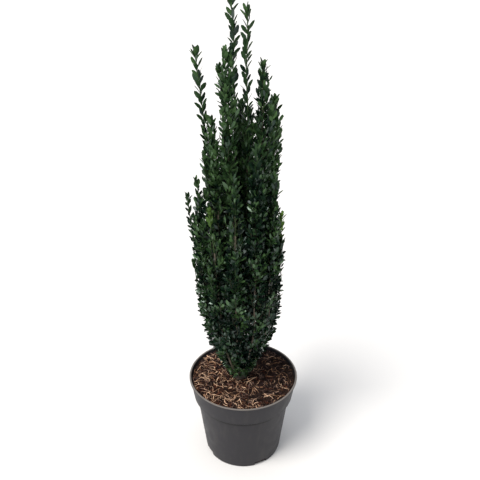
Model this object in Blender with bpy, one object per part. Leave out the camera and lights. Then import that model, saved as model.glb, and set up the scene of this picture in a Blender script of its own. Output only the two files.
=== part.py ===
"""A columnar Japanese holly in a round nursery pot.

Metres, +Z up. The origin is the centre of the pot's flat underside. The plant is a clump of upright
shoots from one short trunk. Each shoot has a bare limb, which starts at the trunk, and above it a mass
of foliage on the stem that carries the limb on. Every mass keeps to its own upright cell of the crown.
"""

import math
import random
from collections import namedtuple

import bmesh
import bpy
from mathutils import Vector

# The pot
POT_HEIGHT = 0.185
POT_SIDES = 40
RIM_RADIUS = 0.115
RIM_WIDTH = 0.0036
LIP_DEPTH = 0.0040
LIP_EDGE = 0.0010
BAND_TOP_RADIUS = 0.1125
BAND_BOTTOM = 0.1390
BAND_BOTTOM_RADIUS = 0.1060
STEP_DEPTH = 0.0020
BODY_TOP_RADIUS = 0.0992
BASE_RADIUS = 0.0820
BASE_CHAMFER = 0.0030
WALL = 0.0018
STEP_LIFT = 0.0008
FLOOR = 0.0030
DRAIN_COUNT = 4
DRAIN_SIZE = (0.012, 0.028, 0.009)
DRAIN_RADIUS = 0.0825
FIRST_DRAIN = math.radians(207)
GAP = 0.0003

# The growing medium
SOIL_SIDES = 24
SOIL_AT_WALL = 0.1760
GROUND = 0.1765
SOIL_RINGS = (0.82, 0.62, 0.42)
SOIL_FLAT_RADIUS = 0.024
SOIL_ROUGHNESS = 0.0012

# The trunk
TRUNK_X = -0.008
TRUNK_SIDES = 12
TRUNK_HEIGHT = 0.020
TRUNK_RADIUS = 0.0098
ROOT_FLARE = 1.25
ROOT_RIDGES = 4
RIDGE_HEIGHT = 0.12

# The shoots, with heights above the ground
STAND_HEIGHT = 0.20
OUTWARD_CURVE = 2.0
LIMB_SIDES = 5
SIDE_LIMB_FOOT = 0.0120
INNER_FOOT_RING = 0.0074
INNER_LIMB_RADIUS = 0.0026
OUTER_LIMB_RADIUS = 0.0021
TIP_SHARE = 0.32
WOBBLE = 0.0016
WOBBLE_LENGTH = 0.13
LIMB_STEP = 0.055
STEM_STEP = 0.088

# The foliage
SEED = 11
TURN = math.radians(137.5)
LEAF_LENGTH = 0.026
LEAF_WIDTH_SHARE = 0.40
LEAF_THICKNESS_SHARE = 0.030
LEAF_FOLD = 0.075
LEAF_STEP = 0.0125
LEAF_SLANT = math.radians(36)
SIDE_TWIG_EVERY = 4
SIDE_TWIG_LENGTH = 0.026
SIDE_TWIGS_ABOVE_DENSE = 0.060
TWIG_RADIUS = 0.0011
SPRAY_LENGTH = 0.033
SPRAY_WIDTH_SHARE = 0.56
SPRAY_SLANT = math.radians(38)
SPRAY_STEP = 0.0152
INNER_SPRAYS_FROM = 0.34
SPRAY_FAN = (0.0, -1.15, 0.75, -0.45, 1.25, -0.8, 0.35)
LOW_SPRAYS = 2
LOW_SPRAY_LENGTH = 0.021
LOW_SPRAY_SLANT = math.radians(96)
LEAF_ROOT_SHARE = 0.5
CORE_SIDES = 6
CORE_STEP = 0.045
CORE_BELOW_OUTLINE = 0.017
CORE_MOST = 0.021
CORE_SLIM = 0.010
CORE_NARROWS = (0.36, 0.48)
CORE_LEAST = 0.0030
CORE_START = 0.006
CORE_FOOT_SHARE = 0.8
CORE_FOOT_LENGTH = 0.020
CORE_TOP_SHARE = 0.2
CORE_TOP_LENGTH = 0.060
CORE_WAIST = 0.72
CLEAR = 0.0008
TIP_ROOM = 0.024

# The crown's reach from its upright middle line, as (height, radius)
CROWN_MIDDLE_X = -0.008
CROWN_OUTLINE = (
    (0.000, 0.018),
    (0.018, 0.028),
    (0.044, 0.040),
    (0.070, 0.053),
    (0.090, 0.066),
    (0.120, 0.076),
    (0.170, 0.087),
    (0.250, 0.089),
    (0.310, 0.096),
    (0.370, 0.100),
    (0.420, 0.104),
)

Shoot = namedtuple("Shoot", "name stand tip foliage_from dense_to top outer")

# Each shoot's place in plan at STAND_HEIGHT and at its tip, and the heights of its foliage: start, dense part, tip
SHOOTS = (
    Shoot("tallest", (-0.009, 0.011), (-0.020, 0.013), 0.16, 0.50, 0.745, False),
    Shoot("second", (0.008, -0.003), (0.004, -0.006), 0.11, 0.49, 0.728, False),
    Shoot("far_left", (-0.032, 0.008), (-0.082, 0.006), 0.20, 0.43, 0.662, False),
    Shoot("left_tuft", (-0.036, -0.016), (-0.058, -0.018), 0.18, 0.50, 0.552, False),
    Shoot("left_plume", (-0.015, -0.024), (-0.032, -0.027), 0.15, 0.62, 0.664, False),
    Shoot("rear_middle", (-0.006, 0.037), (-0.006, 0.041), 0.14, 0.50, 0.570, False),
    Shoot("right_plume", (0.031, -0.010), (0.032, -0.010), 0.14, 0.60, 0.644, False),
    Shoot("right_upper", (0.037, 0.014), (0.055, 0.010), 0.13, 0.54, 0.584, False),
    Shoot("left_outer", (-0.076, 0.004), (-0.106, 0.000), 0.030, 0.33, 0.412, True),
    Shoot("left_low", (-0.062, -0.016), (-0.086, -0.019), 0.023, 0.36, 0.448, True),
    Shoot("front_left", (-0.045, -0.046), (-0.061, -0.050), 0.025, 0.34, 0.400, True),
    Shoot("front", (-0.014, -0.062), (-0.016, -0.064), 0.031, 0.38, 0.446, True),
    Shoot("front_right", (0.021, -0.060), (0.023, -0.058), 0.027, 0.45, 0.512, True),
    Shoot("right_front", (0.049, -0.040), (0.053, -0.042), 0.025, 0.40, 0.462, True),
    Shoot("right_low", (0.060, -0.006), (0.072, -0.009), 0.023, 0.31, 0.377, True),
    Shoot("right_rear", (0.054, 0.029), (0.056, 0.031), 0.027, 0.33, 0.382, True),
    Shoot("rear_right", (0.032, 0.056), (0.035, 0.058), 0.025, 0.45, 0.506, True),
    Shoot("rear", (-0.004, 0.064), (-0.002, 0.067), 0.030, 0.47, 0.536, True),
    Shoot("rear_left", (-0.039, 0.055), (-0.043, 0.058), 0.026, 0.42, 0.482, True),
    Shoot("left_rear", (-0.059, 0.029), (-0.066, 0.031), 0.028, 0.34, 0.405, True),
)

# Colour, roughness and metallic value of each material
MATERIALS = {
    "pot_plastic": ((0.060, 0.060, 0.063), 0.50, 0.0),
    "bark_mulch": ((0.120, 0.062, 0.036), 0.95, 0.0),
    "holly_bark": ((0.150, 0.125, 0.100), 0.85, 0.0),
    "holly_leaves": ((0.022, 0.060, 0.018), 0.42, 0.0),
}


def clear_scene():
    for obj in list(bpy.data.objects):
        bpy.data.objects.remove(obj, do_unlink=True)


def material(name):
    """The named Principled material, made the first time it is asked for."""
    made = bpy.data.materials.get(name)
    if made is None:
        colour, roughness, metallic = MATERIALS[name]
        made = bpy.data.materials.new(name)
        made.use_nodes = True
        shader = made.node_tree.nodes["Principled BSDF"]
        shader.inputs["Base Color"].default_value = (*colour, 1.0)
        shader.inputs["Roughness"].default_value = roughness
        shader.inputs["Metallic"].default_value = metallic
        made.diffuse_color = (*colour, 1.0)
    return made


def make_object(name, points, faces, material_name, collection=None):
    """A mesh object whose faces point outwards."""
    mesh = bpy.data.meshes.new(name)
    mesh.from_pydata([tuple(p) for p in points], [], faces)
    shape = bmesh.new()
    shape.from_mesh(mesh)
    bmesh.ops.recalc_face_normals(shape, faces=shape.faces)
    if shape.calc_volume(signed=True) < 0:
        bmesh.ops.reverse_faces(shape, faces=shape.faces)
    shape.to_mesh(mesh)
    shape.free()
    mesh.materials.append(material(material_name))
    obj = bpy.data.objects.new(name, mesh)
    (collection or bpy.context.scene.collection).objects.link(obj)
    return obj


def loft(rings):
    """Points and faces of a closed skin through rings of equal count, with a flat cap at each end."""
    count = len(rings[0])
    points = [p for ring in rings for p in ring]
    faces = []
    for r in range(len(rings) - 1):
        for k in range(count):
            here, right = r * count + k, r * count + (k + 1) % count
            faces.append((here, right, right + count, here + count))
    faces.append(tuple(reversed(range(count))))
    faces.append(tuple(range((len(rings) - 1) * count, len(rings) * count)))
    return points, faces


def circle(radius, height, sides, centre=(0.0, 0.0), shape=lambda angle: 1.0):
    """A level ring of points. shape scales the radius by the angle."""
    angles = [2 * math.pi * k / sides for k in range(sides)]
    return [
        Vector(
            (
                centre[0] + radius * shape(a) * math.cos(a),
                centre[1] + radius * shape(a) * math.sin(a),
                height,
            )
        )
        for a in angles
    ]


def smooth(obj, degrees):
    obj.data.shade_smooth()
    obj.data.set_sharp_from_angle(angle=math.radians(degrees))


def body_radius(height):
    """Outer radius of the pot's wall below its band."""
    share = height / (BAND_BOTTOM - STEP_DEPTH)
    return BASE_RADIUS + (BODY_TOP_RADIUS - BASE_RADIUS) * share


def inner_wall():
    """(radius, height) up the pot's inner wall, from its floor to its rim."""
    return (
        (body_radius(FLOOR) - WALL, FLOOR),
        (BODY_TOP_RADIUS - WALL, BAND_BOTTOM - STEP_DEPTH + STEP_LIFT),
        (BAND_BOTTOM_RADIUS - WALL, BAND_BOTTOM + STEP_LIFT),
        (RIM_RADIUS - RIM_WIDTH, POT_HEIGHT),
    )


def build_pot():
    lip_bottom = POT_HEIGHT - LIP_DEPTH
    outer = (
        (BASE_RADIUS - BASE_CHAMFER, 0.0),
        (body_radius(BASE_CHAMFER), BASE_CHAMFER),
        (BODY_TOP_RADIUS, BAND_BOTTOM - STEP_DEPTH),
        (BAND_BOTTOM_RADIUS, BAND_BOTTOM),
        (BAND_TOP_RADIUS, lip_bottom),
        (RIM_RADIUS, lip_bottom + LIP_EDGE),
        (RIM_RADIUS, POT_HEIGHT - LIP_EDGE),
        (RIM_RADIUS - LIP_EDGE, POT_HEIGHT),
    )
    profile = outer + tuple(reversed(inner_wall()))
    points, faces = loft([circle(r, z, POT_SIDES) for r, z in profile])
    pot = make_object("pot", points, faces, "pot_plastic")
    cutters = bpy.data.collections.new("drain_cutters")
    bpy.context.scene.collection.children.link(cutters)
    for k in range(DRAIN_COUNT):
        cutters.objects.link(drain_cutter(k))
    cut = pot.modifiers.new("drains", "BOOLEAN")
    cut.operation = "DIFFERENCE"
    cut.operand_type = "COLLECTION"
    cut.collection = cutters
    cut.solver = "EXACT"
    apply_modifiers(pot)
    remove_collection(cutters)
    smooth(pot, 30)
    return pot


def drain_cutter(number):
    """A block through the corner between the pot's wall and floor."""
    mesh = bpy.data.meshes.new(f"drain_cutter_{number}")
    shape = bmesh.new()
    bmesh.ops.create_cube(shape, size=1.0)
    radial, across, tall = DRAIN_SIZE
    bmesh.ops.scale(shape, vec=(radial, across, 2 * tall), verts=shape.verts)
    shape.to_mesh(mesh)
    shape.free()
    cutter = bpy.data.objects.new(mesh.name, mesh)
    angle = FIRST_DRAIN + 2 * math.pi * number / DRAIN_COUNT
    cutter.location = (DRAIN_RADIUS * math.cos(angle), DRAIN_RADIUS * math.sin(angle), 0.0)
    cutter.rotation_euler = (0.0, 0.0, angle)
    cutter.hide_render = True
    cutter.display_type = "WIRE"
    return cutter


def apply_modifiers(obj):
    """Replaces the object's mesh by the one its modifiers make."""
    bpy.context.view_layer.update()
    evaluated = obj.evaluated_get(bpy.context.evaluated_depsgraph_get())
    made = bpy.data.meshes.new_from_object(evaluated)
    made.name = obj.name
    obj.modifiers.clear()
    obj.data = made


def remove_collection(collection):
    for obj in list(collection.objects):
        bpy.data.objects.remove(obj, do_unlink=True)
    bpy.data.collections.remove(collection)


def build_soil():
    """The medium that fills the pot, with a low uneven mound and a flat place for the trunk."""
    rough = random.Random(SEED)
    wall = inner_wall()
    rings = [circle(wall[0][0] - GAP, FLOOR + GAP, SOIL_SIDES)]
    for radius, height in wall[1:3]:
        rings.append(circle(radius - GAP, height + GAP, SOIL_SIDES))
    share = (SOIL_AT_WALL - wall[2][1]) / (wall[3][1] - wall[2][1])
    edge = wall[2][0] + share * (wall[3][0] - wall[2][0]) - GAP
    rings.append(circle(edge, SOIL_AT_WALL, SOIL_SIDES))
    for step in SOIL_RINGS:
        level = GROUND - (GROUND - SOIL_AT_WALL) * step**2 - SOIL_ROUGHNESS
        ring = circle(edge * step, level, SOIL_SIDES)
        for point in ring:
            point.z += rough.uniform(-SOIL_ROUGHNESS, SOIL_ROUGHNESS)
        rings.append(ring)
    rings.append(circle(SOIL_FLAT_RADIUS, GROUND, SOIL_SIDES, (TRUNK_X, 0.0)))
    points, faces = loft(rings)
    return make_object("growing_medium", points, faces, "bark_mulch")


def trunk_radius(height):
    """Radius of the trunk, with its root flare and the swelling under the limbs."""
    share = height / TRUNK_HEIGHT
    flare = (ROOT_FLARE - 1) * (1 - share) ** 4
    return TRUNK_RADIUS * (1 + flare + 0.06 * share**2)


def build_trunk():
    rings = []
    for share in (0.0, 0.10, 0.24, 0.50, 1.0):
        ridges = RIDGE_HEIGHT * (1 - share) ** 4
        rings.append(
            circle(
                trunk_radius(share * TRUNK_HEIGHT),
                GROUND + GAP + share * TRUNK_HEIGHT,
                TRUNK_SIDES,
                (TRUNK_X, 0.0),
                lambda angle, ridges=ridges: 1 + ridges * math.cos(ROOT_RIDGES * angle),
            )
        )
    points, faces = loft(rings)
    trunk = make_object("trunk", points, faces, "holly_bark")
    smooth(trunk, 40)
    return trunk


def plan_angle(shoot):
    return math.atan2(shoot.stand[1], shoot.stand[0] - TRUNK_X)


def ranked_angles(shoots):
    """An evenly spaced angle round the trunk for each shoot, in the order in which they stand."""
    order = sorted(shoots, key=plan_angle)
    step = 2 * math.pi / len(order)
    turn = sum(plan_angle(s) - k * step for k, s in enumerate(order)) / len(order)
    return {s.name: k * step + turn for k, s in enumerate(order)}


def find_feet():
    """Where each limb starts on the trunk: (x, y, height above the ground)."""
    middle = min(SHOOTS, key=lambda s: math.hypot(s.stand[0] - TRUNK_X, s.stand[1]))
    outer = [s for s in SHOOTS if s.outer]
    inner = [s for s in SHOOTS if not s.outer and s is not middle]
    feet = {middle.name: (TRUNK_X, 0.0, TRUNK_HEIGHT + 2 * GAP)}
    for group, radius, height in (
        (outer, trunk_radius(SIDE_LIMB_FOOT - 2 * OUTER_LIMB_RADIUS) + GAP, SIDE_LIMB_FOOT),
        (inner, INNER_FOOT_RING, TRUNK_HEIGHT + 2 * GAP),
    ):
        for name, angle in ranked_angles(group).items():
            feet[name] = (
                TRUNK_X + radius * math.cos(angle),
                radius * math.sin(angle),
                height,
            )
    return feet


FEET = find_feet()


def axis_point(shoot, height):
    """The shoot's middle line at a height above the ground, as a point in space."""
    foot = FEET[shoot.name]
    rise = min(1.0, max(0.0, (height - foot[2]) / (STAND_HEIGHT - foot[2])))
    out = 1 - (1 - rise) ** OUTWARD_CURVE
    above = max(0.0, (height - STAND_HEIGHT) / (shoot.top - STAND_HEIGHT))
    phase = SHOOTS.index(shoot) * TURN
    sway = WOBBLE * rise * math.sin(2 * math.pi * height / WOBBLE_LENGTH + phase)
    across = (math.cos(phase), math.sin(phase))
    xy = [
        foot[k] + (shoot.stand[k] - foot[k]) * out
        + (shoot.tip[k] - shoot.stand[k]) * above
        + sway * across[k]
        for k in (0, 1)
    ]
    return Vector((xy[0], xy[1], GROUND + height))


def axis_direction(shoot, height):
    step = 0.002
    return (axis_point(shoot, height + step) - axis_point(shoot, height - step)).normalized()


def stem_radius(shoot, height):
    """Radius of the shoot's limb, and of the stem that carries it on to the tip."""
    start = OUTER_LIMB_RADIUS if shoot.outer else INNER_LIMB_RADIUS
    return start * (1 - (1 - TIP_SHARE) * height / shoot.top)


def ring_across(centre, direction, radius, sides, reference=Vector((1.0, 0.0, 0.0))):
    """A ring of points round a centre, square to a direction, counted from a level reference."""
    other = direction.cross(reference).normalized()
    side = other.cross(direction).normalized()
    angles = [2 * math.pi * k / sides for k in range(sides)]
    return [centre + (side * math.cos(a) + other * math.sin(a)) * radius for a in angles]


def round_the_trunk(shoot):
    """The level direction square to the way in which the shoot's limb leaves the trunk."""
    foot = FEET[shoot.name]
    away = Vector((foot[0] - TRUNK_X, foot[1], 0.0))
    if away.length < GAP:
        return Vector((1.0, 0.0, 0.0))
    return Vector((-away.y, away.x, 0.0)).normalized()


def heights_between(low, high, step):
    count = max(1, math.ceil((high - low) / step))
    return [low + (high - low) * k / count for k in range(count + 1)]


def build_limb(shoot):
    """The bare tapering limb, from the trunk to where the foliage starts."""
    foot = FEET[shoot.name]
    side = round_the_trunk(shoot)
    rings = []
    for height in heights_between(foot[2], shoot.foliage_from, LIMB_STEP):
        direction = axis_direction(shoot, height)
        centre = axis_point(shoot, height)
        rings.append(ring_across(centre, direction, stem_radius(shoot, height), LIMB_SIDES, side))
    cut = side.cross(Vector((0.0, 0.0, 1.0))) if shoot.outer else Vector((0.0, 0.0, 1.0))
    start = axis_point(shoot, foot[2])
    along = axis_direction(shoot, foot[2] + 0.002)
    rings[0] = [p - along * ((p - start).dot(cut) / along.dot(cut)) for p in rings[0]]
    points, faces = loft(rings)
    limb = make_object(f"limb_{shoot.name}", points, faces, "holly_bark")
    smooth(limb, 80)
    return limb


def crown_reach(height):
    """How far from the crown's middle line foliage may reach at a height above the ground."""
    for (low, near), (high, far) in zip(CROWN_OUTLINE, CROWN_OUTLINE[1:]):
        if height <= high:
            return near + (far - near) * max(0.0, height - low) / (high - low)
    return CROWN_OUTLINE[-1][1]


def has_foliage(shoot, height):
    return shoot.foliage_from - TIP_ROOM < height < shoot.top + TIP_ROOM


def room_at(shoot, point):
    """How far a point is inside the shoot's own cell of the crown, negative where it is outside."""
    height = point.z - GROUND
    own = axis_point(shoot, height)
    room = crown_reach(height) - math.hypot(point.x - CROWN_MIDDLE_X, point.y)
    room = min(room, height - 0.004)
    if height < TRUNK_HEIGHT + 0.004:
        room = min(room, math.hypot(point.x - TRUNK_X, point.y) - trunk_radius(0.0))
    for other in SHOOTS:
        if other is shoot:
            if height < shoot.foliage_from:
                room = min(room, (point - own).length - stem_radius(shoot, height) - CLEAR)
            continue
        there = axis_point(other, height)
        if has_foliage(other, height):
            apart = (there - own).length
            nearer = (point - there).length_squared - (point - own).length_squared
            room = min(room, nearer / (2 * apart))
        if FEET[other.name][2] < height < other.foliage_from + TIP_ROOM:
            room = min(room, (point - there).length - stem_radius(other, height) - CLEAR)
    return room


def fits(shoot, points):
    return all(room_at(shoot, p) > CLEAR for p in points)


def core_reach(shoot, height, outward):
    """How far the dense core goes from the stem in a level direction."""
    own = axis_point(shoot, height)
    low, high = CORE_NARROWS
    slim = min(1.0, max(0.0, (height - low) / (high - low)))
    reach = CORE_MOST + (CORE_SLIM - CORE_MOST) * slim
    middle = Vector((CROWN_MIDDLE_X, 0.0, own.z))
    away = (own - middle).dot(outward)
    inside = (crown_reach(height) - CORE_BELOW_OUTLINE) ** 2 - (own - middle).length_squared
    reach = min(reach, -away + math.sqrt(max(0.0, away * away + inside)))
    for other in SHOOTS:
        if other is shoot:
            continue
        to_other = axis_point(other, height) - own
        facing = to_other.dot(outward)
        if facing <= 0:
            continue
        if has_foliage(other, height):
            reach = min(reach, to_other.length_squared / (2 * facing) - 2 * CLEAR)
        if FEET[other.name][2] < height < other.foliage_from + TIP_ROOM:
            clear = to_other.length - stem_radius(other, height) - 2 * CLEAR
            reach = min(reach, clear * to_other.length / facing)
    return max(0.0, reach)


def core_taper(shoot, height):
    """The share of its room that the core takes up, which falls off towards both ends."""
    above_foot = max(0.0, height - shoot.foliage_from - CORE_START) / CORE_FOOT_LENGTH
    below_top = max(0.0, shoot.dense_to - height) / CORE_TOP_LENGTH
    foot = CORE_FOOT_SHARE + (1 - CORE_FOOT_SHARE) * above_foot
    top = CORE_TOP_SHARE + (1 - CORE_TOP_SHARE) * below_top
    return min(1.0, foot, top)


def core_rings(shoot):
    """Rings of the core that fills the dense part of a mass."""
    rough = random.Random(f"{SEED} core {shoot.name}")
    rings = []
    heights = heights_between(shoot.foliage_from + CORE_START, shoot.dense_to, CORE_STEP)
    for k, height in enumerate(heights):
        taper = core_taper(shoot, height) * (CORE_WAIST if k % 2 else 1.0)
        own = axis_point(shoot, height)
        ring = []
        for n in range(CORE_SIDES):
            angle = 2 * math.pi * n / CORE_SIDES + SHOOTS.index(shoot)
            outward = Vector((math.cos(angle), math.sin(angle), 0.0))
            reach = core_reach(shoot, height, outward) * taper * rough.uniform(0.82, 1.0)
            ring.append(own + outward * max(CORE_LEAST, reach))
        rings.append(ring)
    return rings


LEAF_FACES = [(0, 1, 4), (1, 2, 4), (2, 3, 4), (3, 0, 4), (0, 2, 1), (0, 3, 2)]
SPRAY_FACES = [(0, 1, 3), (1, 2, 3), (0, 2, 1), (0, 3, 2)]
LEAF_EDGES = ((0, 4), (4, 2), (0, 1), (1, 2), (2, 3), (3, 0), (1, 4), (3, 4))


def leaf_points(root, along, face, length, width_share):
    """The corners of a leaf with a keel under its midrib: root, side, tip, other side and middle of its face."""
    side = along.cross(face).normalized()
    up = side.cross(along).normalized()
    middle = root + along * length * 0.54
    half = side * length * width_share / 2
    lift = up * length * LEAF_FOLD
    tip = root + along * length
    return [root, middle - half + lift, tip, middle + half + lift, middle + up * length * LEAF_THICKNESS_SHARE]


def leaf_fits(shoot, corners):
    """Whether a leaf keeps to the shoot's cell, judged at its corners and halfway between them."""
    halfway = [(corners[a] + corners[b]) / 2 for a, b in LEAF_EDGES]
    return fits(shoot, corners[1:] + halfway)


def find_leaf(shoot, root, directions, face, length, width_share):
    """The corners of the longest leaf that keeps to the shoot's cell in one of the directions, or None."""
    for share in (1.0, 0.82, 0.66):
        for along in directions:
            corners = leaf_points(root, along, face, length * share, width_share)
            if leaf_fits(shoot, corners):
                return corners
    return None


def grow_leaf(shoot, root, directions, face, length, parts):
    """Adds a leaf with a crease along the middle of its face."""
    corners = find_leaf(shoot, root, directions, face, length, LEAF_WIDTH_SHARE)
    if corners:
        parts.append((corners, LEAF_FACES))


def grow_twig(shoot, root, end, parts):
    """Adds a thin three-sided twig between two points, if it keeps to the shoot's cell."""
    if not fits(shoot, [end, (root + end) / 2]):
        return False
    along = (end - root).normalized()
    side = Vector((along.y, -along.x, 0.0)).normalized()
    rings = [
        ring_across(root, along, TWIG_RADIUS, 3, side),
        ring_across(end, along, TWIG_RADIUS * 0.6, 3, side),
    ]
    parts.append(loft(rings))
    return True


def leaning(angle, slant, stem):
    """A direction that leaves the stem at a slant, towards an angle in plan."""
    level = Vector((math.cos(angle), math.sin(angle), 0.0))
    return (stem * math.cos(slant) + level * math.sin(slant)).normalized()


def grow_spray(shoot, height, angle, slants, length, parts):
    """A short twig from the stem into the core, with one large blade out of it in place of a spray of leaves."""
    upright = Vector((0.0, 0.0, 1.0))
    level = Vector((math.cos(angle), math.sin(angle), 0.0))
    sunk = LEAF_ROOT_SHARE * core_taper(shoot, height) * core_reach(shoot, height, level)
    root = axis_point(shoot, height) + level * sunk
    if sunk > TWIG_RADIUS:
        grow_twig(shoot, axis_point(shoot, height), root + level * 0.001, parts)
    ways = [leaning(angle, slant, upright) for slant in slants]
    corners = find_leaf(shoot, root, ways, upright, length + sunk / 2, SPRAY_WIDTH_SHARE)
    if corners:
        parts.append((corners[:4], SPRAY_FACES))


def grow_dense_part(shoot, rough, parts):
    """Sprays out of the core: outwards on the shoots at the crown's outside, and all round on the others."""
    low = shoot.foliage_from + CORE_START + 0.002
    for k, height in enumerate(heights_between(low, shoot.dense_to - 0.002, SPRAY_STEP)):
        if not shoot.outer and height < INNER_SPRAYS_FROM:
            continue
        own = axis_point(shoot, height)
        facing = math.atan2(own.y, own.x - CROWN_MIDDLE_X)
        fan = SPRAY_FAN[k % len(SPRAY_FAN)] + rough.uniform(-0.2, 0.2)
        angle = facing + fan if shoot.outer else k * TURN
        slants = [SPRAY_SLANT * rough.uniform(0.85, 1.3), SPRAY_SLANT * 0.6]
        length = SPRAY_LENGTH * min(1.0, 0.75 + height) * rough.uniform(0.88, 1.12)
        grow_spray(shoot, height, angle, slants, length, parts)
    for k in range(LOW_SPRAYS if shoot.outer else 0):
        own = axis_point(shoot, low)
        angle = math.atan2(own.y, own.x - CROWN_MIDDLE_X) + 0.9 * (k - 0.5)
        slant = LOW_SPRAY_SLANT * rough.uniform(0.9, 1.1)
        grow_spray(shoot, low + 0.004 * k, angle, [slant, slant * 0.7], LOW_SPRAY_LENGTH, parts)


def grow_side_twig(shoot, own, angle, stem, rough, parts):
    """A side twig in the open part of a mass, with a leaf at its end and one on each side."""
    along = leaning(angle, LEAF_SLANT * 0.85, stem)
    for length in (SIDE_TWIG_LENGTH, SIDE_TWIG_LENGTH * 0.6):
        end = own + along * length
        if grow_twig(shoot, own, end, parts):
            break
    else:
        return
    across = along.cross(stem).normalized()
    grow_leaf(shoot, end - along * 0.003, [along], stem, LEAF_LENGTH * 0.85, parts)
    for turn in (-1, 1):
        way = (along * 0.75 + across * turn * 0.66).normalized()
        start = own + along * length * rough.uniform(0.62, 0.85)
        grow_leaf(shoot, start, [way], stem, LEAF_LENGTH * 0.85, parts)


def grow_open_part(shoot, rough, parts):
    """Single leaves up the stem in a spiral, a side twig now and then, and a cluster at the tip."""
    low = shoot.dense_to + 0.004
    for k, height in enumerate(heights_between(low, shoot.top - 0.006, LEAF_STEP)):
        stem = axis_direction(shoot, height)
        own = axis_point(shoot, height)
        angle = k * TURN + SHOOTS.index(shoot)
        if k % SIDE_TWIG_EVERY == 1 and height < shoot.dense_to + SIDE_TWIGS_ABOVE_DENSE:
            grow_side_twig(shoot, own, angle + TURN / 2, stem, rough, parts)
        ways = [leaning(angle, LEAF_SLANT * turn, stem) for turn in (rough.uniform(0.8, 1.2), 0.6)]
        size = LEAF_LENGTH * rough.uniform(0.88, 1.05)
        grow_leaf(shoot, own, ways, stem, size, parts)
    tip = axis_point(shoot, shoot.top)
    stem = axis_direction(shoot, shoot.top)
    for k in range(3):
        ways = [leaning(k * TURN, LEAF_SLANT * (0.3 + 0.3 * k), stem)]
        grow_leaf(shoot, tip - stem * 0.002 * (k + 1), ways, stem, LEAF_LENGTH, parts)


def stem_rings(shoot):
    """The three-sided stem of a mass. It starts clear of the limb's end and runs to the shoot's tip."""
    side = round_the_trunk(shoot)
    rings = []
    for height in heights_between(shoot.foliage_from, shoot.top, STEM_STEP):
        direction = axis_direction(shoot, height)
        centre = axis_point(shoot, height)
        if height == shoot.foliage_from:
            centre += direction * GAP
        rings.append(ring_across(centre, direction, stem_radius(shoot, height), 3, side))
    return rings


def keep_one_body(obj):
    """Drops loose scraps and fills sealed hollows, so that only the largest closed skin is left."""
    shape = bmesh.new()
    shape.from_mesh(obj.data)
    bmesh.ops.triangulate(shape, faces=shape.faces)
    unseen = set(shape.faces)
    skins = []
    while unseen:
        skin = [unseen.pop()]
        for face in skin:
            for edge in face.edges:
                for beside in edge.link_faces:
                    if beside in unseen:
                        unseen.remove(beside)
                        skin.append(beside)
        skins.append(skin)
    skins.sort(key=len)
    bmesh.ops.delete(shape, geom=[face for skin in skins[:-1] for face in skin], context="FACES")
    shape.to_mesh(obj.data)
    shape.free()


def build_foliage(shoot):
    """One mass: its stem, core, twigs and leaves, joined by one Boolean union."""
    rough = random.Random(f"{SEED} foliage {shoot.name}")
    name = f"foliage_{shoot.name}"
    points, faces = loft(stem_rings(shoot))
    mass = make_object(name, points, faces, "holly_leaves")
    parts = [loft(core_rings(shoot))]
    grow_dense_part(shoot, rough, parts)
    grow_open_part(shoot, rough, parts)
    growth = bpy.data.collections.new(name + "_growth")
    bpy.context.scene.collection.children.link(growth)
    for k, (part_points, part_faces) in enumerate(parts):
        make_object(f"{name}_part_{k}", part_points, part_faces, "holly_leaves", growth)
    join = mass.modifiers.new("join", "BOOLEAN")
    join.operation = "UNION"
    join.operand_type = "COLLECTION"
    join.collection = growth
    join.solver = "MANIFOLD"
    apply_modifiers(mass)
    remove_collection(growth)
    keep_one_body(mass)
    return mass


def main():
    clear_scene()
    build_pot()
    build_soil()
    build_trunk()
    for shoot in SHOOTS:
        build_limb(shoot)
        build_foliage(shoot)


main()
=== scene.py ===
"""The looks of a columnar Japanese holly in its nursery pot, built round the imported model.

Metres, +Z up, in the model's own frame: the origin is the centre of the pot's flat underside and -Y is the
camera's side. Twigs and leaves grow from each shoot's middle line by the rule of the part's source, carried
to finer twigs within the same reach. Each shoot's leaves and twigs are joined meshes made from arrays.
"""

import random
from collections import namedtuple
from functools import partial
from math import atan2, cos, hypot, pi, radians, sin, sqrt

import bmesh
import bpy
import numpy as np
from mathutils import Matrix, Vector


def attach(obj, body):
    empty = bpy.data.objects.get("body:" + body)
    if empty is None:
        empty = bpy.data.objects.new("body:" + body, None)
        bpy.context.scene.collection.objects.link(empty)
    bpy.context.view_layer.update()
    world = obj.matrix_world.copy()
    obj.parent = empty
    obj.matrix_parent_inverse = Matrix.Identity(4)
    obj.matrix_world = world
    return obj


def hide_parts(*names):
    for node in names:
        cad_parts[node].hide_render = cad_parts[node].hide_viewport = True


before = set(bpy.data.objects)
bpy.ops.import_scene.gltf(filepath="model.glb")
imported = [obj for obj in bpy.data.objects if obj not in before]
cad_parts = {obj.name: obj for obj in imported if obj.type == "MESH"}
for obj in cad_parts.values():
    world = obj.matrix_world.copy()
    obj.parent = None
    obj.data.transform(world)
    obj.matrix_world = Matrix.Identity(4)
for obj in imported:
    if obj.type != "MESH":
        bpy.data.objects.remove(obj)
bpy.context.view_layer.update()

FULL_TURN = 2 * pi
UP = Vector((0.0, 0.0, 1.0))

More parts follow.
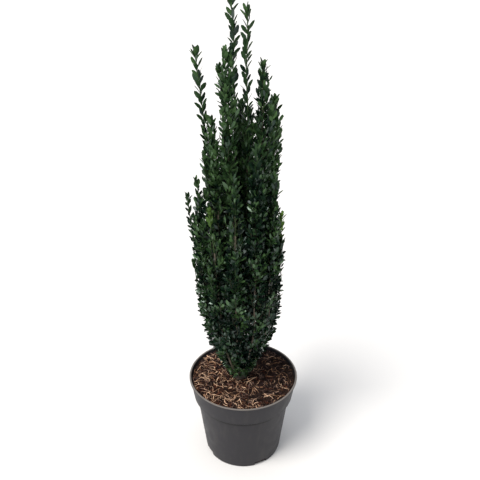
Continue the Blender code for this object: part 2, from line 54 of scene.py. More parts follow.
# Sizes of the pot and the medium, as in the part's source
POT_HEIGHT = 0.185
RIM_RADIUS = 0.115
RIM_WIDTH = 0.0036
LIP_DEPTH = 0.0040
BAND_TOP_RADIUS = 0.1125
BAND_BOTTOM = 0.1390
BAND_BOTTOM_RADIUS = 0.1060
STEP_BOTTOM = BAND_BOTTOM - 0.0020
BODY_TOP_RADIUS = 0.0992
BASE_RADIUS = 0.0820
WALL = 0.0018
STEP_LIFT = 0.0008
FLOOR = 0.0030
DRAIN_COUNT = 4
DRAIN_SIZE = (0.012, 0.028, 0.009)
DRAIN_RADIUS = 0.0825
FIRST_DRAIN = radians(207)
GAP = 0.0003
SOIL_AT_WALL = 0.1760
GROUND = 0.1765

# Roundings of the pot's edges
FOOT_ROUND = 0.0022
STEP_ROUND = 0.0009
BAND_ROUND = 0.0010
LIP_FOOT_ROUND = 0.0008
LIP_ROUND = 0.0011
RIM_INSIDE_ROUND = 0.0009

# Sizes of the trunk and the shoots, as in the part's source, with heights above the ground
TRUNK_X = -0.008
TRUNK_HEIGHT = 0.020
TRUNK_RADIUS = 0.0098
FORK_SWELLING = 0.06
ROOT_FLARE = 1.25
ROOT_RIDGES = 4
RIDGE_HEIGHT = 0.12
STAND_HEIGHT = 0.20
OUTWARD_CURVE = 2.0
SIDE_LIMB_FOOT = 0.0120
INNER_FOOT_RING = 0.0074
INNER_LIMB_RADIUS = 0.0026
OUTER_LIMB_RADIUS = 0.0021
TIP_SHARE = 0.32
WOBBLE = 0.0016
WOBBLE_LENGTH = 0.13
TURN = radians(137.5)
CROWN_MIDDLE_X = -0.008
CROWN_OUTLINE = (
    (0.000, 0.018), (0.018, 0.028), (0.044, 0.040), (0.070, 0.053), (0.090, 0.066), (0.120, 0.076),
    (0.170, 0.087), (0.250, 0.089), (0.310, 0.096), (0.370, 0.100), (0.420, 0.104),
)

# stand and tip are a shoot's places in plan at STAND_HEIGHT and at its top, and outer ones leave the trunk's
# side. Leaves start at foliage_from and thin out above dense_to, and side twigs end at bushy_to. fresh is how
# far its leaves lean to the lighter greens, and young is how far down from its tip they are yellow-green
SHOOT_PARTS = "name stand tip foliage_from dense_to top outer bushy_to fresh young"
Shoot = namedtuple("Shoot", SHOOT_PARTS, defaults=(0.0,))
SHOOTS = [Shoot(*row) for row in (
    ("tallest", (-0.009, 0.011), (-0.020, 0.013), 0.16, 0.50, 0.745, False, 0.555, 0.48),
    ("second", (0.008, -0.003), (0.004, -0.006), 0.11, 0.49, 0.728, False, 0.555, 0.62),
    ("far_left", (-0.032, 0.008), (-0.082, 0.006), 0.20, 0.43, 0.662, False, 0.520, 0.60),
    ("left_tuft", (-0.036, -0.016), (-0.058, -0.018), 0.18, 0.50, 0.552, False, 0.535, 0.78),
    ("left_plume", (-0.015, -0.024), (-0.032, -0.027), 0.15, 0.62, 0.664, False, 0.652, 0.95),
    ("rear_middle", (-0.006, 0.037), (-0.006, 0.041), 0.14, 0.50, 0.570, False, 0.555, 0.30),
    ("right_plume", (0.031, -0.010), (0.032, -0.010), 0.14, 0.60, 0.644, False, 0.630, 0.45),
    ("right_upper", (0.037, 0.014), (0.055, 0.010), 0.13, 0.54, 0.584, False, 0.570, 0.90),
    ("left_outer", (-0.076, 0.004), (-0.106, 0.000), 0.030, 0.33, 0.412, True, 0.325, 0.46),
    ("left_low", (-0.062, -0.016), (-0.086, -0.019), 0.023, 0.36, 0.448, True, 0.405, 0.42),
    ("front_left", (-0.045, -0.046), (-0.061, -0.050), 0.025, 0.34, 0.400, True, 0.350, 0.40, 0.034),
    ("front", (-0.014, -0.062), (-0.016, -0.064), 0.031, 0.38, 0.446, True, 0.410, 0.16),
    ("front_right", (0.021, -0.060), (0.023, -0.058), 0.027, 0.45, 0.512, True, 0.480, 0.16),
    ("right_front", (0.049, -0.040), (0.053, -0.042), 0.025, 0.40, 0.462, True, 0.430, 0.30),
    ("right_low", (0.060, -0.006), (0.072, -0.009), 0.023, 0.31, 0.377, True, 0.320, 0.35, 0.050),
    ("right_rear", (0.054, 0.029), (0.056, 0.031), 0.027, 0.33, 0.382, True, 0.350, 0.20),
    ("rear_right", (0.032, 0.056), (0.035, 0.058), 0.025, 0.45, 0.506, True, 0.480, 0.15),
    ("rear", (-0.004, 0.064), (-0.002, 0.067), 0.030, 0.47, 0.536, True, 0.500, 0.20, 0.020),
    ("rear_left", (-0.039, 0.055), (-0.043, 0.058), 0.026, 0.42, 0.482, True, 0.450, 0.20),
    ("left_rear", (-0.059, 0.029), (-0.066, 0.031), 0.028, 0.34, 0.405, True, 0.360, 0.25),
)]

# How far foliage may reach towards the photograph's right, and the gap beside the plume that stands there
RIGHT_REACH = 0.081
RIGHT_PLUME = "right_low"
RIGHT_GAP_X = 0.066
RIGHT_GAP_FROM = 0.326
RIGHT_GAP_TO = 0.405

# Leaders seen beside a shoot's own: (shoot, height where it starts, place of its tip, its top, how fresh)
SEEN_LEADERS = (
    ("left_low", 0.300, (-0.069, -0.020), 0.424, 0.15),
    ("right_low", 0.290, (0.059, -0.020), 0.396, 0.10),
    ("left_plume", 0.570, (-0.022, -0.028), 0.654, 0.75),
    ("left_plume", 0.560, (-0.041, -0.026), 0.642, 0.70),
    ("right_upper", 0.480, (0.044, 0.004), 0.566, 0.60),
    ("second", 0.440, (0.016, -0.003), 0.545, 0.30),
    ("rear_middle", 0.440, (0.013, 0.034), 0.560, 0.05),
    ("right_plume", 0.450, (0.021, -0.006), 0.540, 0.25),
)

# Stretches of stem that leaves leave free at the crown's front: (shoot, from, to)
FREE_STRETCHES = (
    ("front", 0.330, 0.395),
    ("front_left", 0.295, 0.345),
    ("front_left", 0.030, 0.078),
)
FREE_HALF_WIDTH = 0.0030
BARK_CLEARANCE = 0.0008
LEAF_ABOVE_GROUND = 0.002

# Side twigs, low twigs and finer twigs. Twigs stand upright above STEEP_TO, and sparser above OPEN_FROM
SEED = 11
SPRAY_STEP = 0.0046
SPRAYS_START = 0.003
SPRAY_SLANT = radians(40)
SPRAY_LENGTH = 0.050
SPRAY_ROOM = 0.008
SPRAY_STRAIGHTENS = 0.40
SPRAYS_SHORTEN_OVER = 0.16
SHORTEST_SPRAY = 0.009
SHORTENING = 0.85
INWARD_COSINE = -0.35
STEEP_FROM = 0.16
STEEP_TO = 0.38
OPEN_FROM = 0.45
LOW_SPRAYS = 11
LOW_SPRAYS_START = -0.010
LOW_SPRAY_STEP = 0.0032
LOW_SPRAY_LENGTH = 0.016
LOW_SPRAY_SPREAD = 1.4
LOW_SPRAY_SLANTS = (60, 128)
LOW_SPRAY_ROOM = 0.003
SHORTEST_LOW_SPRAY = 0.004
LOW_SPRAY_ABOVE_GROUND = 0.004
FINE_SPRAY_STEP = 0.010
FINE_SPRAY_LENGTH = 0.016
FINE_SPRAYS_FROM = 0.30
FINE_SPRAYS_TO = 0.80
TWIG_RADIUS = 0.00065
TWIG_TIP = 0.45
TWIG_RINGS = 4
TWIG_SIDES = 3

# Leaves on the twigs, single leaves on the leaders, and the shade leaves inside the crown. A leader has the
# length of its leaves and the step between them
LEAF_GAP = 0.0038
BODY_LEAF = 0.0122
BODY_LEAF_WIDTH = 0.48
BODY_SLANT = radians(58)
BARE_INSIDE = 0.045
LEADER_LEAF_WIDTH = 0.42
TALL_LEADER = (0.0205, 0.0037)
SHORT_LEADER = (0.0155, 0.0036)
LEADERS_BESIDE = 2
LEADER_BARE = 0.015
LEADER_SLANT = radians(30)
SINGLE_LEAVES_FROM = 0.24
DENSE_SLANT = 1.35
DENSE_STEP = 0.75
NEAR_TIP = 0.020
TIP_LENGTH = 0.004
LEAVES_IN_TIP = 5
TIP_LEAF_STEP = 0.0025
SHADE_LEAF = 0.0190
SHADE_LEAF_WIDTH = 0.5
SHADE_LEAF_STEP = 0.0032
SHADE_LEAF_ROOM = 0.012
SHADE_LEAVES_START = 0.01
SHADE_LEAVES_TO = 0.44

# Shape of a leaf, whose outline is a share of the length and half width as a share of the greatest
LEAF_ROWS = ((0.17, 0.46), (0.52, 1.00), (0.85, 0.66))
LEAF_THICKNESS = 0.00022
SHORTENED = (1.0, 0.85, 0.7)

# Each kind of leaf, from the oldest to the newest: its base colour and the strength of its gloss. The darkest
# also stands for painted shade deep inside the crown, and the last is the young colour painted lighter, for
# young leaves in the crown's shadow
LEAF_KINDS = (
    ("darkest", (0.0024, 0.0068, 0.0046), 0.20),
    ("dark", (0.0050, 0.0165, 0.0078), 0.54),
    ("middle", (0.0165, 0.0405, 0.0138), 0.56),
    ("fresh", (0.0440, 0.0900, 0.0310), 0.56),
    ("young", (0.0500, 0.0980, 0.0190), 0.40),
    # The young colour painted lighter, for young leaves in the crown's shadow
    ("youngest", (0.1150, 0.2050, 0.0420), 0.40),
)
MIDDLE, FRESH, YOUNG, YOUNG_PAINTED_LIT = range(2, 6)
# Young stretches longer than this get the young colour painted lighter, for the plume in the crown's shadow
PAINTED_LIT_YOUNG_STRETCH = 0.040
GLOSS_TINT = (0.82, 1.0, 0.95, 1.0)
LEAF_ROUGHNESS = 0.25
UNDERSIDE_PALER = 1.25
UNDERSIDE_ROUGHNESS = 0.50
UNDERSIDE_GLOSS = 0.12
TWIG_COLOURS = (
    ("old_wood", (0.150, 0.125, 0.095)),
    ("twig_wood", (0.052, 0.050, 0.030)),
    ("green_twig", (0.040, 0.075, 0.022)),
)
OLD_WOOD, TWIG_WOOD, GREEN_TWIG = range(3)

# What makes a spray or a leader's leaf lighter or darker, in steps from one kind of leaf to the next
SPRAY_TONE = 1.20
FRESH_LIGHTER = 2.2
LOW_DARKER = 0.66
# Painted light: leaves at the crown's foot, which the crown above shades, are made lighter
FOOT_PAINTED_LIGHT = 0.7
# Painted shade: leaves deep inside the crown are made darker
DEEP_PAINTED_SHADE = 0.5
SPRAY_TONE_SPREAD = 0.88
FOOT_HEIGHT = 0.11
DEEP_ROOM = 0.05
LEADER_TONE = 1.1
LEADER_FRESH_LIGHTER = 1.3
LEADER_END = 0.022
LEADER_END_LIGHTER = 0.9
LEADER_TONE_SPREAD = 0.45

# How far up a limb its swollen start reaches, and how far limbs and the trunk run into what they stand on
COLLAR_HEIGHT = 0.005
INTO_TRUNK = 0.003
INTO_GROUND = 0.004

# The medium's surface: its waves are (height, seed, length)
SOIL_WAVES = ((0.0011, 5, 0.022), (0.0006, 6, 0.007))

# The mulch's colours, of which chips and crumbs have only the first, dark ones
DARK_MULCH = 4
MULCH_COLOURS = (
    ("fibre_dark", (0.006, 0.003, 0.0026)),
    ("fibre_brown", (0.017, 0.008, 0.0055)),
    ("fibre_red_brown", (0.074, 0.025, 0.0145)),
    ("fibre_purple_brown", (0.030, 0.0170, 0.0170)),
    ("fibre_grey_tan", (0.165, 0.107, 0.088)),
    ("fibre_tan", (0.310, 0.172, 0.100)),
    ("fibre_pale", (0.800, 0.530, 0.355)),
)

# Tones of the mulch: (share of shreds with those before it, how much more where it is lit and warm, its
# colour). The paler tones at the front left are partly painted light, and the darker tones underneath partly
# painted shade
UNDER_TONES = ((0.02, 0.06, 5), (0.08, 0.10, 4), (0.12, 0.42, 2), (0.45, 0.25, 1))
TOP_TONES = ((0.18, 0.28, 6), (0.38, 0.36, 5), (0.78, 0.10, 4))

# Layers of shreds. length and width are (shortest, mean more, longest), and lie is how high they may lie
Layer = namedtuple("Layer", "piece places rings length width lie curl on_top")
LAYERS = [Layer(*row) for row in (
    ("strands", 1600, 6, (0.005, 0.0065, 0.026), (0.0005, 0.0005, 0.0024), (0.0, 0.0028), 1.2, False),
    ("top_strands", 1000, 11, (0.01, 0.008, 0.036), (0.0004, 0.00025, 0.0015), (0.0022, 0.0052), 2, True),
)]
STRAND_MARGIN = 0.0015
BARE_ROUND_TRUNK = 0.018
CLUMP_SIZE = 0.016
CHIPS = 420
CHIP_CORNERS = 7
CRUMBS = 1800
CRUMB_POINTS = ((1, 0, 0), (0, 1, 0), (-1, 0, 0), (0, -1, 0), (0, 0, 1), (0, 0, -1))
CRUMB_FACES = ((0, 1, 4), (1, 2, 4), (2, 3, 4), (3, 0, 4), (1, 0, 5), (2, 1, 5), (3, 2, 5), (0, 3, 5))

# Colours of the pot, the bark and the peat
PLASTIC = ((0.0190, 0.0180, 0.0215), (0.0275, 0.0262, 0.0308))
DUST = (0.055, 0.050, 0.046)
# Painted shade under the pot's band
PAINTED_SHADE = (0.006, 0.0055, 0.006)
# Painted highlight on the pot's rim
PAINTED_RIM_HIGHLIGHT = (0.17, 0.155, 0.143)
BARK = ((0.045, 0.036, 0.028), (0.120, 0.100, 0.080))
BARK_SPOT = (0.20, 0.175, 0.145)
PEAT = ((0.006, 0.0035, 0.003), (0.022, 0.012, 0.009), (0.06, 0.03, 0.02))
PEAT_FIBRE = (0.10, 0.06, 0.04)

# The camera, which looks down on the plant from its front
CAMERA_PLACE = (-0.0069, -0.957, 0.935)
CAMERA_PITCH = radians(65.5)
CAMERA_LENS = 41.25
CAMERA_SENSOR = 36.0

# The floor, the key light, and the sky's brightness by the sine of the height angle above the horizon
FLOOR_RADIUS = 400.0
KEY_FROM = (-0.62, -0.55, 1.15)
KEY_COLOUR = (1.0, 0.955, 0.895)
SKY_LEVELS = ((0.0, 1.20), (0.05, 1.15), (0.28, 0.44), (0.72, 0.44), (0.86, 1.45), (1.0, 1.65))
SKY_TINT = (0.985, 1.0, 1.035)


def within_one(value):
    """A value, kept between 0 and 1."""
    return min(1.0, max(0.0, value))


def place(name, data):
    """A new object in the scene."""
    obj = bpy.data.objects.new(name, data)
    bpy.context.scene.collection.objects.link(obj)
    return obj


def place_shape(name, shape):
    """A new object with a bmesh's shape, which is then freed."""
    mesh = bpy.data.meshes.new(name)
    shape.to_mesh(mesh)
    shape.free()
    return place(name, mesh)


def joined_mesh(name, points, templates, slot, smooth=True, under=0):
    """One mesh object of many like parts, from arrays.

    points has a row for each part and slot a number. templates are the faces of one part, an array for each
    count of corners. The second half of each array is the part's underside, with a slot higher by under.
    """
    parts = np.arange(len(points))[:, None, None] * points.shape[1]
    faces = [face for t in templates for face in (t[None] + parts).reshape(-1, t.shape[1]).tolist()]
    lower = [np.arange(len(t)) >= len(t) // 2 for t in templates]
    slots = np.concatenate([(slot[:, None] + under * half).ravel() for half in lower])
    mesh = bpy.data.meshes.new(name)
    mesh.from_pydata(points.reshape(-1, 3), [], faces, shade_flat=not smooth)
    mesh.polygons.foreach_set("material_index", slots.astype(np.int32))
    return place(name, mesh)


def around(sides):
    """Evenly spaced angles round a circle."""
    return FULL_TURN * np.arange(sides) / sides


def ring_quads(rings, sides):
    """The faces between rings of points that follow one another."""
    rows = np.arange(rings - 1)[:, None] * sides
    here = (rows + np.arange(sides)).ravel()
    right = (rows + (np.arange(sides) + 1) % sides).ravel()
    return np.stack([here, here + sides, right + sides, right], axis=1)


def end_triangles(rings, sides):
    """The faces from the first and the last ring to the two points that come after all rings."""
    first = np.arange(sides)
    turned = (first + 1) % sides
    last = (rings - 1) * sides
    foot = np.stack([first, turned, np.full(sides, rings * sides)], axis=1)
    tip = np.stack([last + turned, last + first, np.full(sides, rings * sides + 1)], axis=1)
    return np.concatenate([foot, tip])


def unit(rows):
    """Rows of vectors, each made one long."""
    return rows / np.maximum(np.linalg.norm(rows, axis=-1, keepdims=True), 1e-9)


def dress(obj, materials, slot_name, *replaced):
    """Gives a new piece its materials and the solids it stands for, which it hides. Its slot in the record,
    slot_name, is not used.
    """
    for material in materials:
        obj.data.materials.append(material)
    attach(obj, "root")
    if replaced:
        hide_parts(*replaced)
    return obj


# Where the shoots run, by the rule of the part's source


def trunk_radius(height):
    """Radius of the trunk, with its root flare and the swelling under the limbs."""
    share = height / TRUNK_HEIGHT
    flare = (ROOT_FLARE - 1) * (1 - share) ** 4
    return TRUNK_RADIUS * (1 + flare + FORK_SWELLING * share**2)


def plan_angle(shoot):
    """The direction in which a shoot stands from the trunk, in plan."""
    return atan2(shoot.stand[1], shoot.stand[0] - TRUNK_X)


def ranked_angles(shoots):
    """An evenly spaced angle round the trunk for each shoot, in the order in which they stand."""
    order = sorted(shoots, key=plan_angle)
    step = FULL_TURN / len(order)
    turn = sum(plan_angle(s) - k * step for k, s in enumerate(order)) / len(order)
    return {s.name: k * step + turn for k, s in enumerate(order)}


def find_feet():
    """Where each limb starts on the trunk: (x, y, height above the ground)."""
    middle = min(SHOOTS, key=lambda s: hypot(s.stand[0] - TRUNK_X, s.stand[1]))
    outer = [s for s in SHOOTS if s.outer]
    inner = [s for s in SHOOTS if not s.outer and s is not middle]
    feet = {middle.name: (TRUNK_X, 0.0, TRUNK_HEIGHT + 2 * GAP)}
    for group, radius, height in (
        (outer, trunk_radius(SIDE_LIMB_FOOT - 2 * OUTER_LIMB_RADIUS) + GAP, SIDE_LIMB_FOOT),
        (inner, INNER_FOOT_RING, TRUNK_HEIGHT + 2 * GAP),
    ):
        for name, angle in ranked_angles(group).items():
            x = TRUNK_X + radius * cos(angle)
            feet[name] = (x, radius * sin(angle), height)
    return feet


FEET = find_feet()
SHOOT_NAMED = {shoot.name: shoot for shoot in SHOOTS}


def axis_point(shoot, height):
    """The shoot's middle line at a height above the ground, as a point in space."""
    foot = FEET[shoot.name]
    rise = within_one((height - foot[2]) / (STAND_HEIGHT - foot[2]))
    out = 1 - (1 - rise) ** OUTWARD_CURVE
    above = max(0.0, (height - STAND_HEIGHT) / (shoot.top - STAND_HEIGHT))
    phase = SHOOTS.index(shoot) * TURN
    sway = WOBBLE * rise * sin(FULL_TURN * height / WOBBLE_LENGTH + phase)
    across = (cos(phase), sin(phase))
    x, y = (
        foot[k] + (shoot.stand[k] - foot[k]) * out
        + (shoot.tip[k] - shoot.stand[k]) * above
        + sway * across[k]
        for k in (0, 1)
    )
    return Vector((x, y, GROUND + height))


def direction_on(path, height, step=0.002):
    """The direction of a middle line at a height."""
    return (path(height + step) - path(height - step)).normalized()


def stem_radius(shoot, height):
    """Radius of the shoot's limb, and of the stem that carries it on to the tip."""
    start = OUTER_LIMB_RADIUS if shoot.outer else INNER_LIMB_RADIUS
    return start * (1 - (1 - TIP_SHARE) * height / shoot.top)


def crown_reach(height):
    """How far from the crown's middle line foliage may reach at a height above the ground."""
    for (low, near), (high, far) in zip(CROWN_OUTLINE, CROWN_OUTLINE[1:]):
        if height <= high:
            return near + (far - near) * max(0.0, height - low) / (high - low)
    return CROWN_OUTLINE[-1][1]


def room_at(point):
    """How far a point is inside the crown's reach, which is less on the photograph's right."""
    room = crown_reach(point.z - GROUND) - hypot(point.x - CROWN_MIDDLE_X, point.y)
    return min(room, RIGHT_REACH - point.x)


def clear_of_limbs(point):
    """Whether a point is off the ground and outside the trunk and the bare limbs."""
    height = point.z - GROUND
    if height < LEAF_ABOVE_GROUND:
        return False
    from_trunk = hypot(point.x - TRUNK_X, point.y)
    if height < TRUNK_HEIGHT and from_trunk < trunk_radius(height) + BARK_CLEARANCE:
        return False
    for shoot in SHOOTS:
        if FEET[shoot.name][2] < height < shoot.foliage_from:
            if (point - axis_point(shoot, height)).length < stem_radius(shoot, height) + BARK_CLEARANCE:
                return False
    return True


def hides_free_stem(point):
    """Whether a point is in front of a stretch of stem that leaves leave free, as seen from the front."""
    for name, low, high in FREE_STRETCHES:
        middle = axis_point(SHOOT_NAMED[name], (low + high) / 2)
        if point.y > middle.y + FREE_HALF_WIDTH:
            continue
        share = (middle.y - CAMERA_PLACE[1]) / (point.y - CAMERA_PLACE[1])
        height = CAMERA_PLACE[2] + (point.z - CAMERA_PLACE[2]) * share - GROUND
        if low < height < high:
            x = CAMERA_PLACE[0] + (point.x - CAMERA_PLACE[0]) * share
            if abs(x - axis_point(SHOOT_NAMED[name], height).x) < FREE_HALF_WIDTH:
                return True
    return False


def beside_right_plume(shoot, point):
    """Whether a point is where the plume at the photograph's right stands free of the other shoots."""
    if shoot.name == RIGHT_PLUME:
        return False
    return RIGHT_GAP_FROM < point.z - GROUND < RIGHT_GAP_TO and point.x > RIGHT_GAP_X


# Growth. Leaves and twigs are collected as plain rows, and become meshes afterwards

Leaf = namedtuple("Leaf", "root along face length half_width fold curl kind")
Twig = namedtuple("Twig", "points start_radius end_radius kind")
Growth = namedtuple("Growth", "leaves twigs")

# A twig's line: its root, the directions in which it starts and ends, and its length
Curve = namedtuple("Curve", "root first last length")

# A leader: its middle line by height, where its leaves start, from where they stand further apart, its top,
# the length of its leaves and the step between them, and its colours as in Shoot
Leader = namedtuple("Leader", "path low open_from top leaf step fresh young")


def point_on(curve, share):
    """The point at a share of a twig's length."""
    bent = (curve.last - curve.first) * share * share / 2
    return curve.root + (curve.first * share + bent) * curve.length


def way_on(curve, share):
    """The direction of a twig at a share of its length."""
    return (curve.first + (curve.last - curve.first) * share).normalized()


def leaning(angle, slant, stem):
    """A direction that leaves the stem at a slant, towards an angle in plan."""
    level = Vector((cos(angle), sin(angle), 0.0))
    return (stem * cos(slant) + level * sin(slant)).normalized()


def round_about(way, angle):
    """A direction square to way, turned round it by an angle."""
    side = way.cross(Vector((0.3, 1.0, 0.2))).normalized()
    other = way.cross(side)
    return side * cos(angle) + other * sin(angle)


def random_side(way, rough):
    """A random direction square to way."""
    return round_about(way, rough.uniform(0.0, FULL_TURN))


def steepness(height):
    """0 low in the crown, where the twigs spread, and 1 in its upper part, where they stand upright."""
    return within_one((height - STEEP_FROM) / (STEEP_TO - STEEP_FROM))


def nearest_kind(value):
    """The kind of grown leaf that is nearest to a value."""
    return int(min(FRESH, max(0, round(value))))


def spray_kind(shoot, point, rough):
    """The colour of a spray: darker deep inside the crown, as painted shade, lighter at the crown's foot, as
    painted light, and lighter on fresh shoots.
    """
    deep = within_one(room_at(point) / DEEP_ROOM)
    low = 1.0 - steepness(point.z - GROUND)
    foot = max(0.0, 1.0 - (point.z - GROUND) / FOOT_HEIGHT)
    value = SPRAY_TONE + FRESH_LIGHTER * shoot.fresh - LOW_DARKER * low + FOOT_PAINTED_LIGHT * foot
    return nearest_kind(value - DEEP_PAINTED_SHADE * deep + rough.gauss(0.0, SPRAY_TONE_SPREAD))


def leader_kind(leader, below_tip, rough):
    """The colour of a leaf on a leader, by its distance below the tip."""
    if below_tip < leader.young:
        # Painted light: a long young stretch gets the young colour painted lighter, as it stands in the
        # crown's shadow
        return YOUNG_PAINTED_LIT if leader.young > PAINTED_LIT_YOUNG_STRETCH else YOUNG
    value = LEADER_TONE + LEADER_FRESH_LIGHTER * leader.fresh
    if below_tip < LEADER_END:
        value += LEADER_END_LIGHTER
    return nearest_kind(value + rough.gauss(0.0, LEADER_TONE_SPREAD))


def add_leaf(growth, root, along, face, length, width_share, kind, rough):
    """Adds one leaf if it stays within the crown and off the limbs. It is shortened to fit."""
    for share in SHORTENED:
        tip = root + along * length * share
        if room_at(tip) > 0.0 and clear_of_limbs(tip):
            break
    else:
        return
    if not clear_of_limbs(root + along * length * share * 0.5):
        return
    if any(hides_free_stem(root + along * length * share * part) for part in (0.0, 0.5, 1.0)):
        return
    fold = rough.uniform(0.05, 0.42)
    curl = rough.uniform(-0.04, 0.16)
    half_width = length * share * width_share * rough.uniform(0.45, 0.55)
    growth.leaves.append(Leaf(root, along, face, length * share, half_width, fold, curl, kind))


def grow_spray(growth, curve, fine, kind, rough):
    """A curved twig with leaves in a spiral and a cluster at its end. It may carry finer sprays."""
    points = [point_on(curve, k / (TWIG_RINGS - 1)) for k in range(TWIG_RINGS)]
    radius = TWIG_RADIUS * (0.8 + 0.5 * curve.length / SPRAY_LENGTH) * (0.75 if fine else 1.0)
    colour = GREEN_TWIG if fine or kind > MIDDLE else TWIG_WOOD
    growth.twigs.append(Twig(points, radius, radius * TWIG_TIP, colour))
    steep = steepness(curve.root.z - GROUND)
    leaf_length = BODY_LEAF * (0.9 if fine else 1.0) * (1.0 + 0.42 * steep)
    leaf_width = BODY_LEAF_WIDTH - 0.13 * steep
    gap = LEAF_GAP * (1.0 + 0.25 * steep)
    turn_count = max(2, round(curve.length * 0.86 / gap))
    turn = rough.uniform(0.0, FULL_TURN)
    for k in range(turn_count):
        share = 1.0 - k * gap * rough.uniform(0.94, 1.06) / curve.length
        if share < 0.06:
            break
        here = point_on(curve, share)
        if room_at(here) > BARE_INSIDE and steep < 1.0 and rough.random() < 0.6:
            continue
        way = way_on(curve, share)
        slant = BODY_SLANT * (0.45 + 0.16 * min(4, k)) * rough.uniform(0.82, 1.18) * (1.0 - 0.38 * steep)
        turn += TURN
        level = round_about(way, turn)
        along = (way * cos(slant) + level * sin(slant) + UP * 0.08).normalized()
        outward = Vector((here.x - CROWN_MIDDLE_X, here.y, 0.0)).normalized()
        face = UP * 0.55 + outward * (0.50 - 0.30 * steep) + way * 0.30
        face += random_side(way, rough) * 0.45
        size = leaf_length * rough.uniform(0.80, 1.12) * (0.8 if k == 0 else 1.0)
        lighter = k < 3 and rough.random() < 0.30 and kind < FRESH
        add_leaf(growth, here, along, face, size, leaf_width, kind + lighter, rough)
    if not fine and curve.length > 0.020:
        grow_fine_sprays(growth, curve, kind, rough)


def grow_fine_sprays(growth, curve, kind, rough):
    """Short twigs off a side twig, on alternate sides."""
    share = FINE_SPRAYS_FROM
    side = 1
    while share < FINE_SPRAYS_TO:
        here = point_on(curve, share)
        way = way_on(curve, share)
        across = way.cross(UP).normalized() * side
        branch = (way * 0.72 + across * 0.62 + UP * 0.1).normalized()
        reach = FINE_SPRAY_LENGTH * rough.uniform(0.7, 1.25)
        if room_at(here + branch * reach) > 0.006 and room_at(here) < BARE_INSIDE:
            bent = (branch * 0.6 + way * 0.5).normalized()
            grow_spray(growth, Curve(here, branch, bent, reach), True, kind, rough)
        share += FINE_SPRAY_STEP / curve.length * rough.uniform(0.85, 1.2)
        side = -side


def grow_side_sprays(shoot, growth, rough):
    """Side twigs in a spiral up the dense part of the shoot, each as long as the crown has room for."""
    height = shoot.foliage_from + SPRAYS_START
    turn = SHOOTS.index(shoot) * 1.3
    while height < shoot.bushy_to:
        own = axis_point(shoot, height)
        stem = direction_on(partial(axis_point, shoot), height)
        facing = atan2(own.y, own.x - CROWN_MIDDLE_X)
        steep = steepness(height)
        inward = shoot.outer and steep < 1.0 and cos(turn - facing) < INWARD_COSINE
        fade = within_one((shoot.bushy_to - height) / SPRAYS_SHORTEN_OVER)
        length = SPRAY_LENGTH * rough.uniform(0.75, 1.15) * (0.32 + 0.68 * fade)
        length *= (0.6 if inward else 1.0) * (1.0 - 0.22 * steep)
        slant = SPRAY_SLANT * rough.uniform(0.8, 1.25) * (1.0 - 0.45 * steep)
        first = leaning(turn, slant, stem)
        last = leaning(turn, slant * SPRAY_STRAIGHTENS, UP)
        mean = (first + last) / 2
        while length > SHORTEST_SPRAY and room_at(own + mean * length) < SPRAY_ROOM:
            length *= SHORTENING
        if length > SHORTEST_SPRAY and clear_of_limbs(own + mean * length):
            kind = spray_kind(shoot, own + mean * length, rough)
            grow_spray(growth, Curve(own, first, last, length), False, kind, rough)
        closeness = 1.2 if height > OPEN_FROM else 1.0 - 0.25 * steep
        height += SPRAY_STEP * rough.uniform(0.8, 1.2) * (1.5 if inward else 1.0) * closeness
        turn += TURN


def grow_low_sprays(shoot, growth, rough):
    """Short spreading twigs at the foot of an outer shoot's foliage, which hide the trunk."""
    for k in range(LOW_SPRAYS):
        own = axis_point(shoot, shoot.foliage_from + LOW_SPRAYS_START + LOW_SPRAY_STEP * k)
        turn = atan2(own.y, own.x - CROWN_MIDDLE_X)
        turn += rough.uniform(-LOW_SPRAY_SPREAD, LOW_SPRAY_SPREAD)
        slant = radians(rough.uniform(*LOW_SPRAY_SLANTS))
        first = leaning(turn, slant, UP)
        last = leaning(turn, slant * 0.85, UP)
        length = LOW_SPRAY_LENGTH * rough.uniform(0.5, 1.2)
        while length > SHORTEST_LOW_SPRAY and room_at(own + first * length) < LOW_SPRAY_ROOM:
            length *= SHORTENING
        end = own + first * length
        if length > SHORTEST_LOW_SPRAY and end.z > GROUND + LOW_SPRAY_ABOVE_GROUND:
            # Painted light: the foot's sprays are one or two kinds lighter, where the crown above shades them
            kind = min(FRESH, spray_kind(shoot, end, rough) + rough.choice((1, 1, 2)))
            grow_spray(growth, Curve(own, first, last, length), True, kind, rough)


def grow_shade_leaves(shoot, growth, rough):
    """Large leaves of the darkest kind close to the stem, which keep the inside of the crown dark: their dark
    colour is painted shade.
    """
    height = shoot.foliage_from + SHADE_LEAVES_START
    turn = 0.0
    while height < min(SHADE_LEAVES_TO, shoot.bushy_to):
        own = axis_point(shoot, height)
        along = leaning(turn, radians(rough.uniform(45, 95)), UP)
        face = UP + random_side(UP, rough) * 1.2
        if room_at(own + along * SHADE_LEAF) > SHADE_LEAF_ROOM:
            size = SHADE_LEAF * rough.uniform(0.8, 1.1)
            add_leaf(growth, own, along, face, size, SHADE_LEAF_WIDTH, 0, rough)
        height += SHADE_LEAF_STEP
        turn += TURN


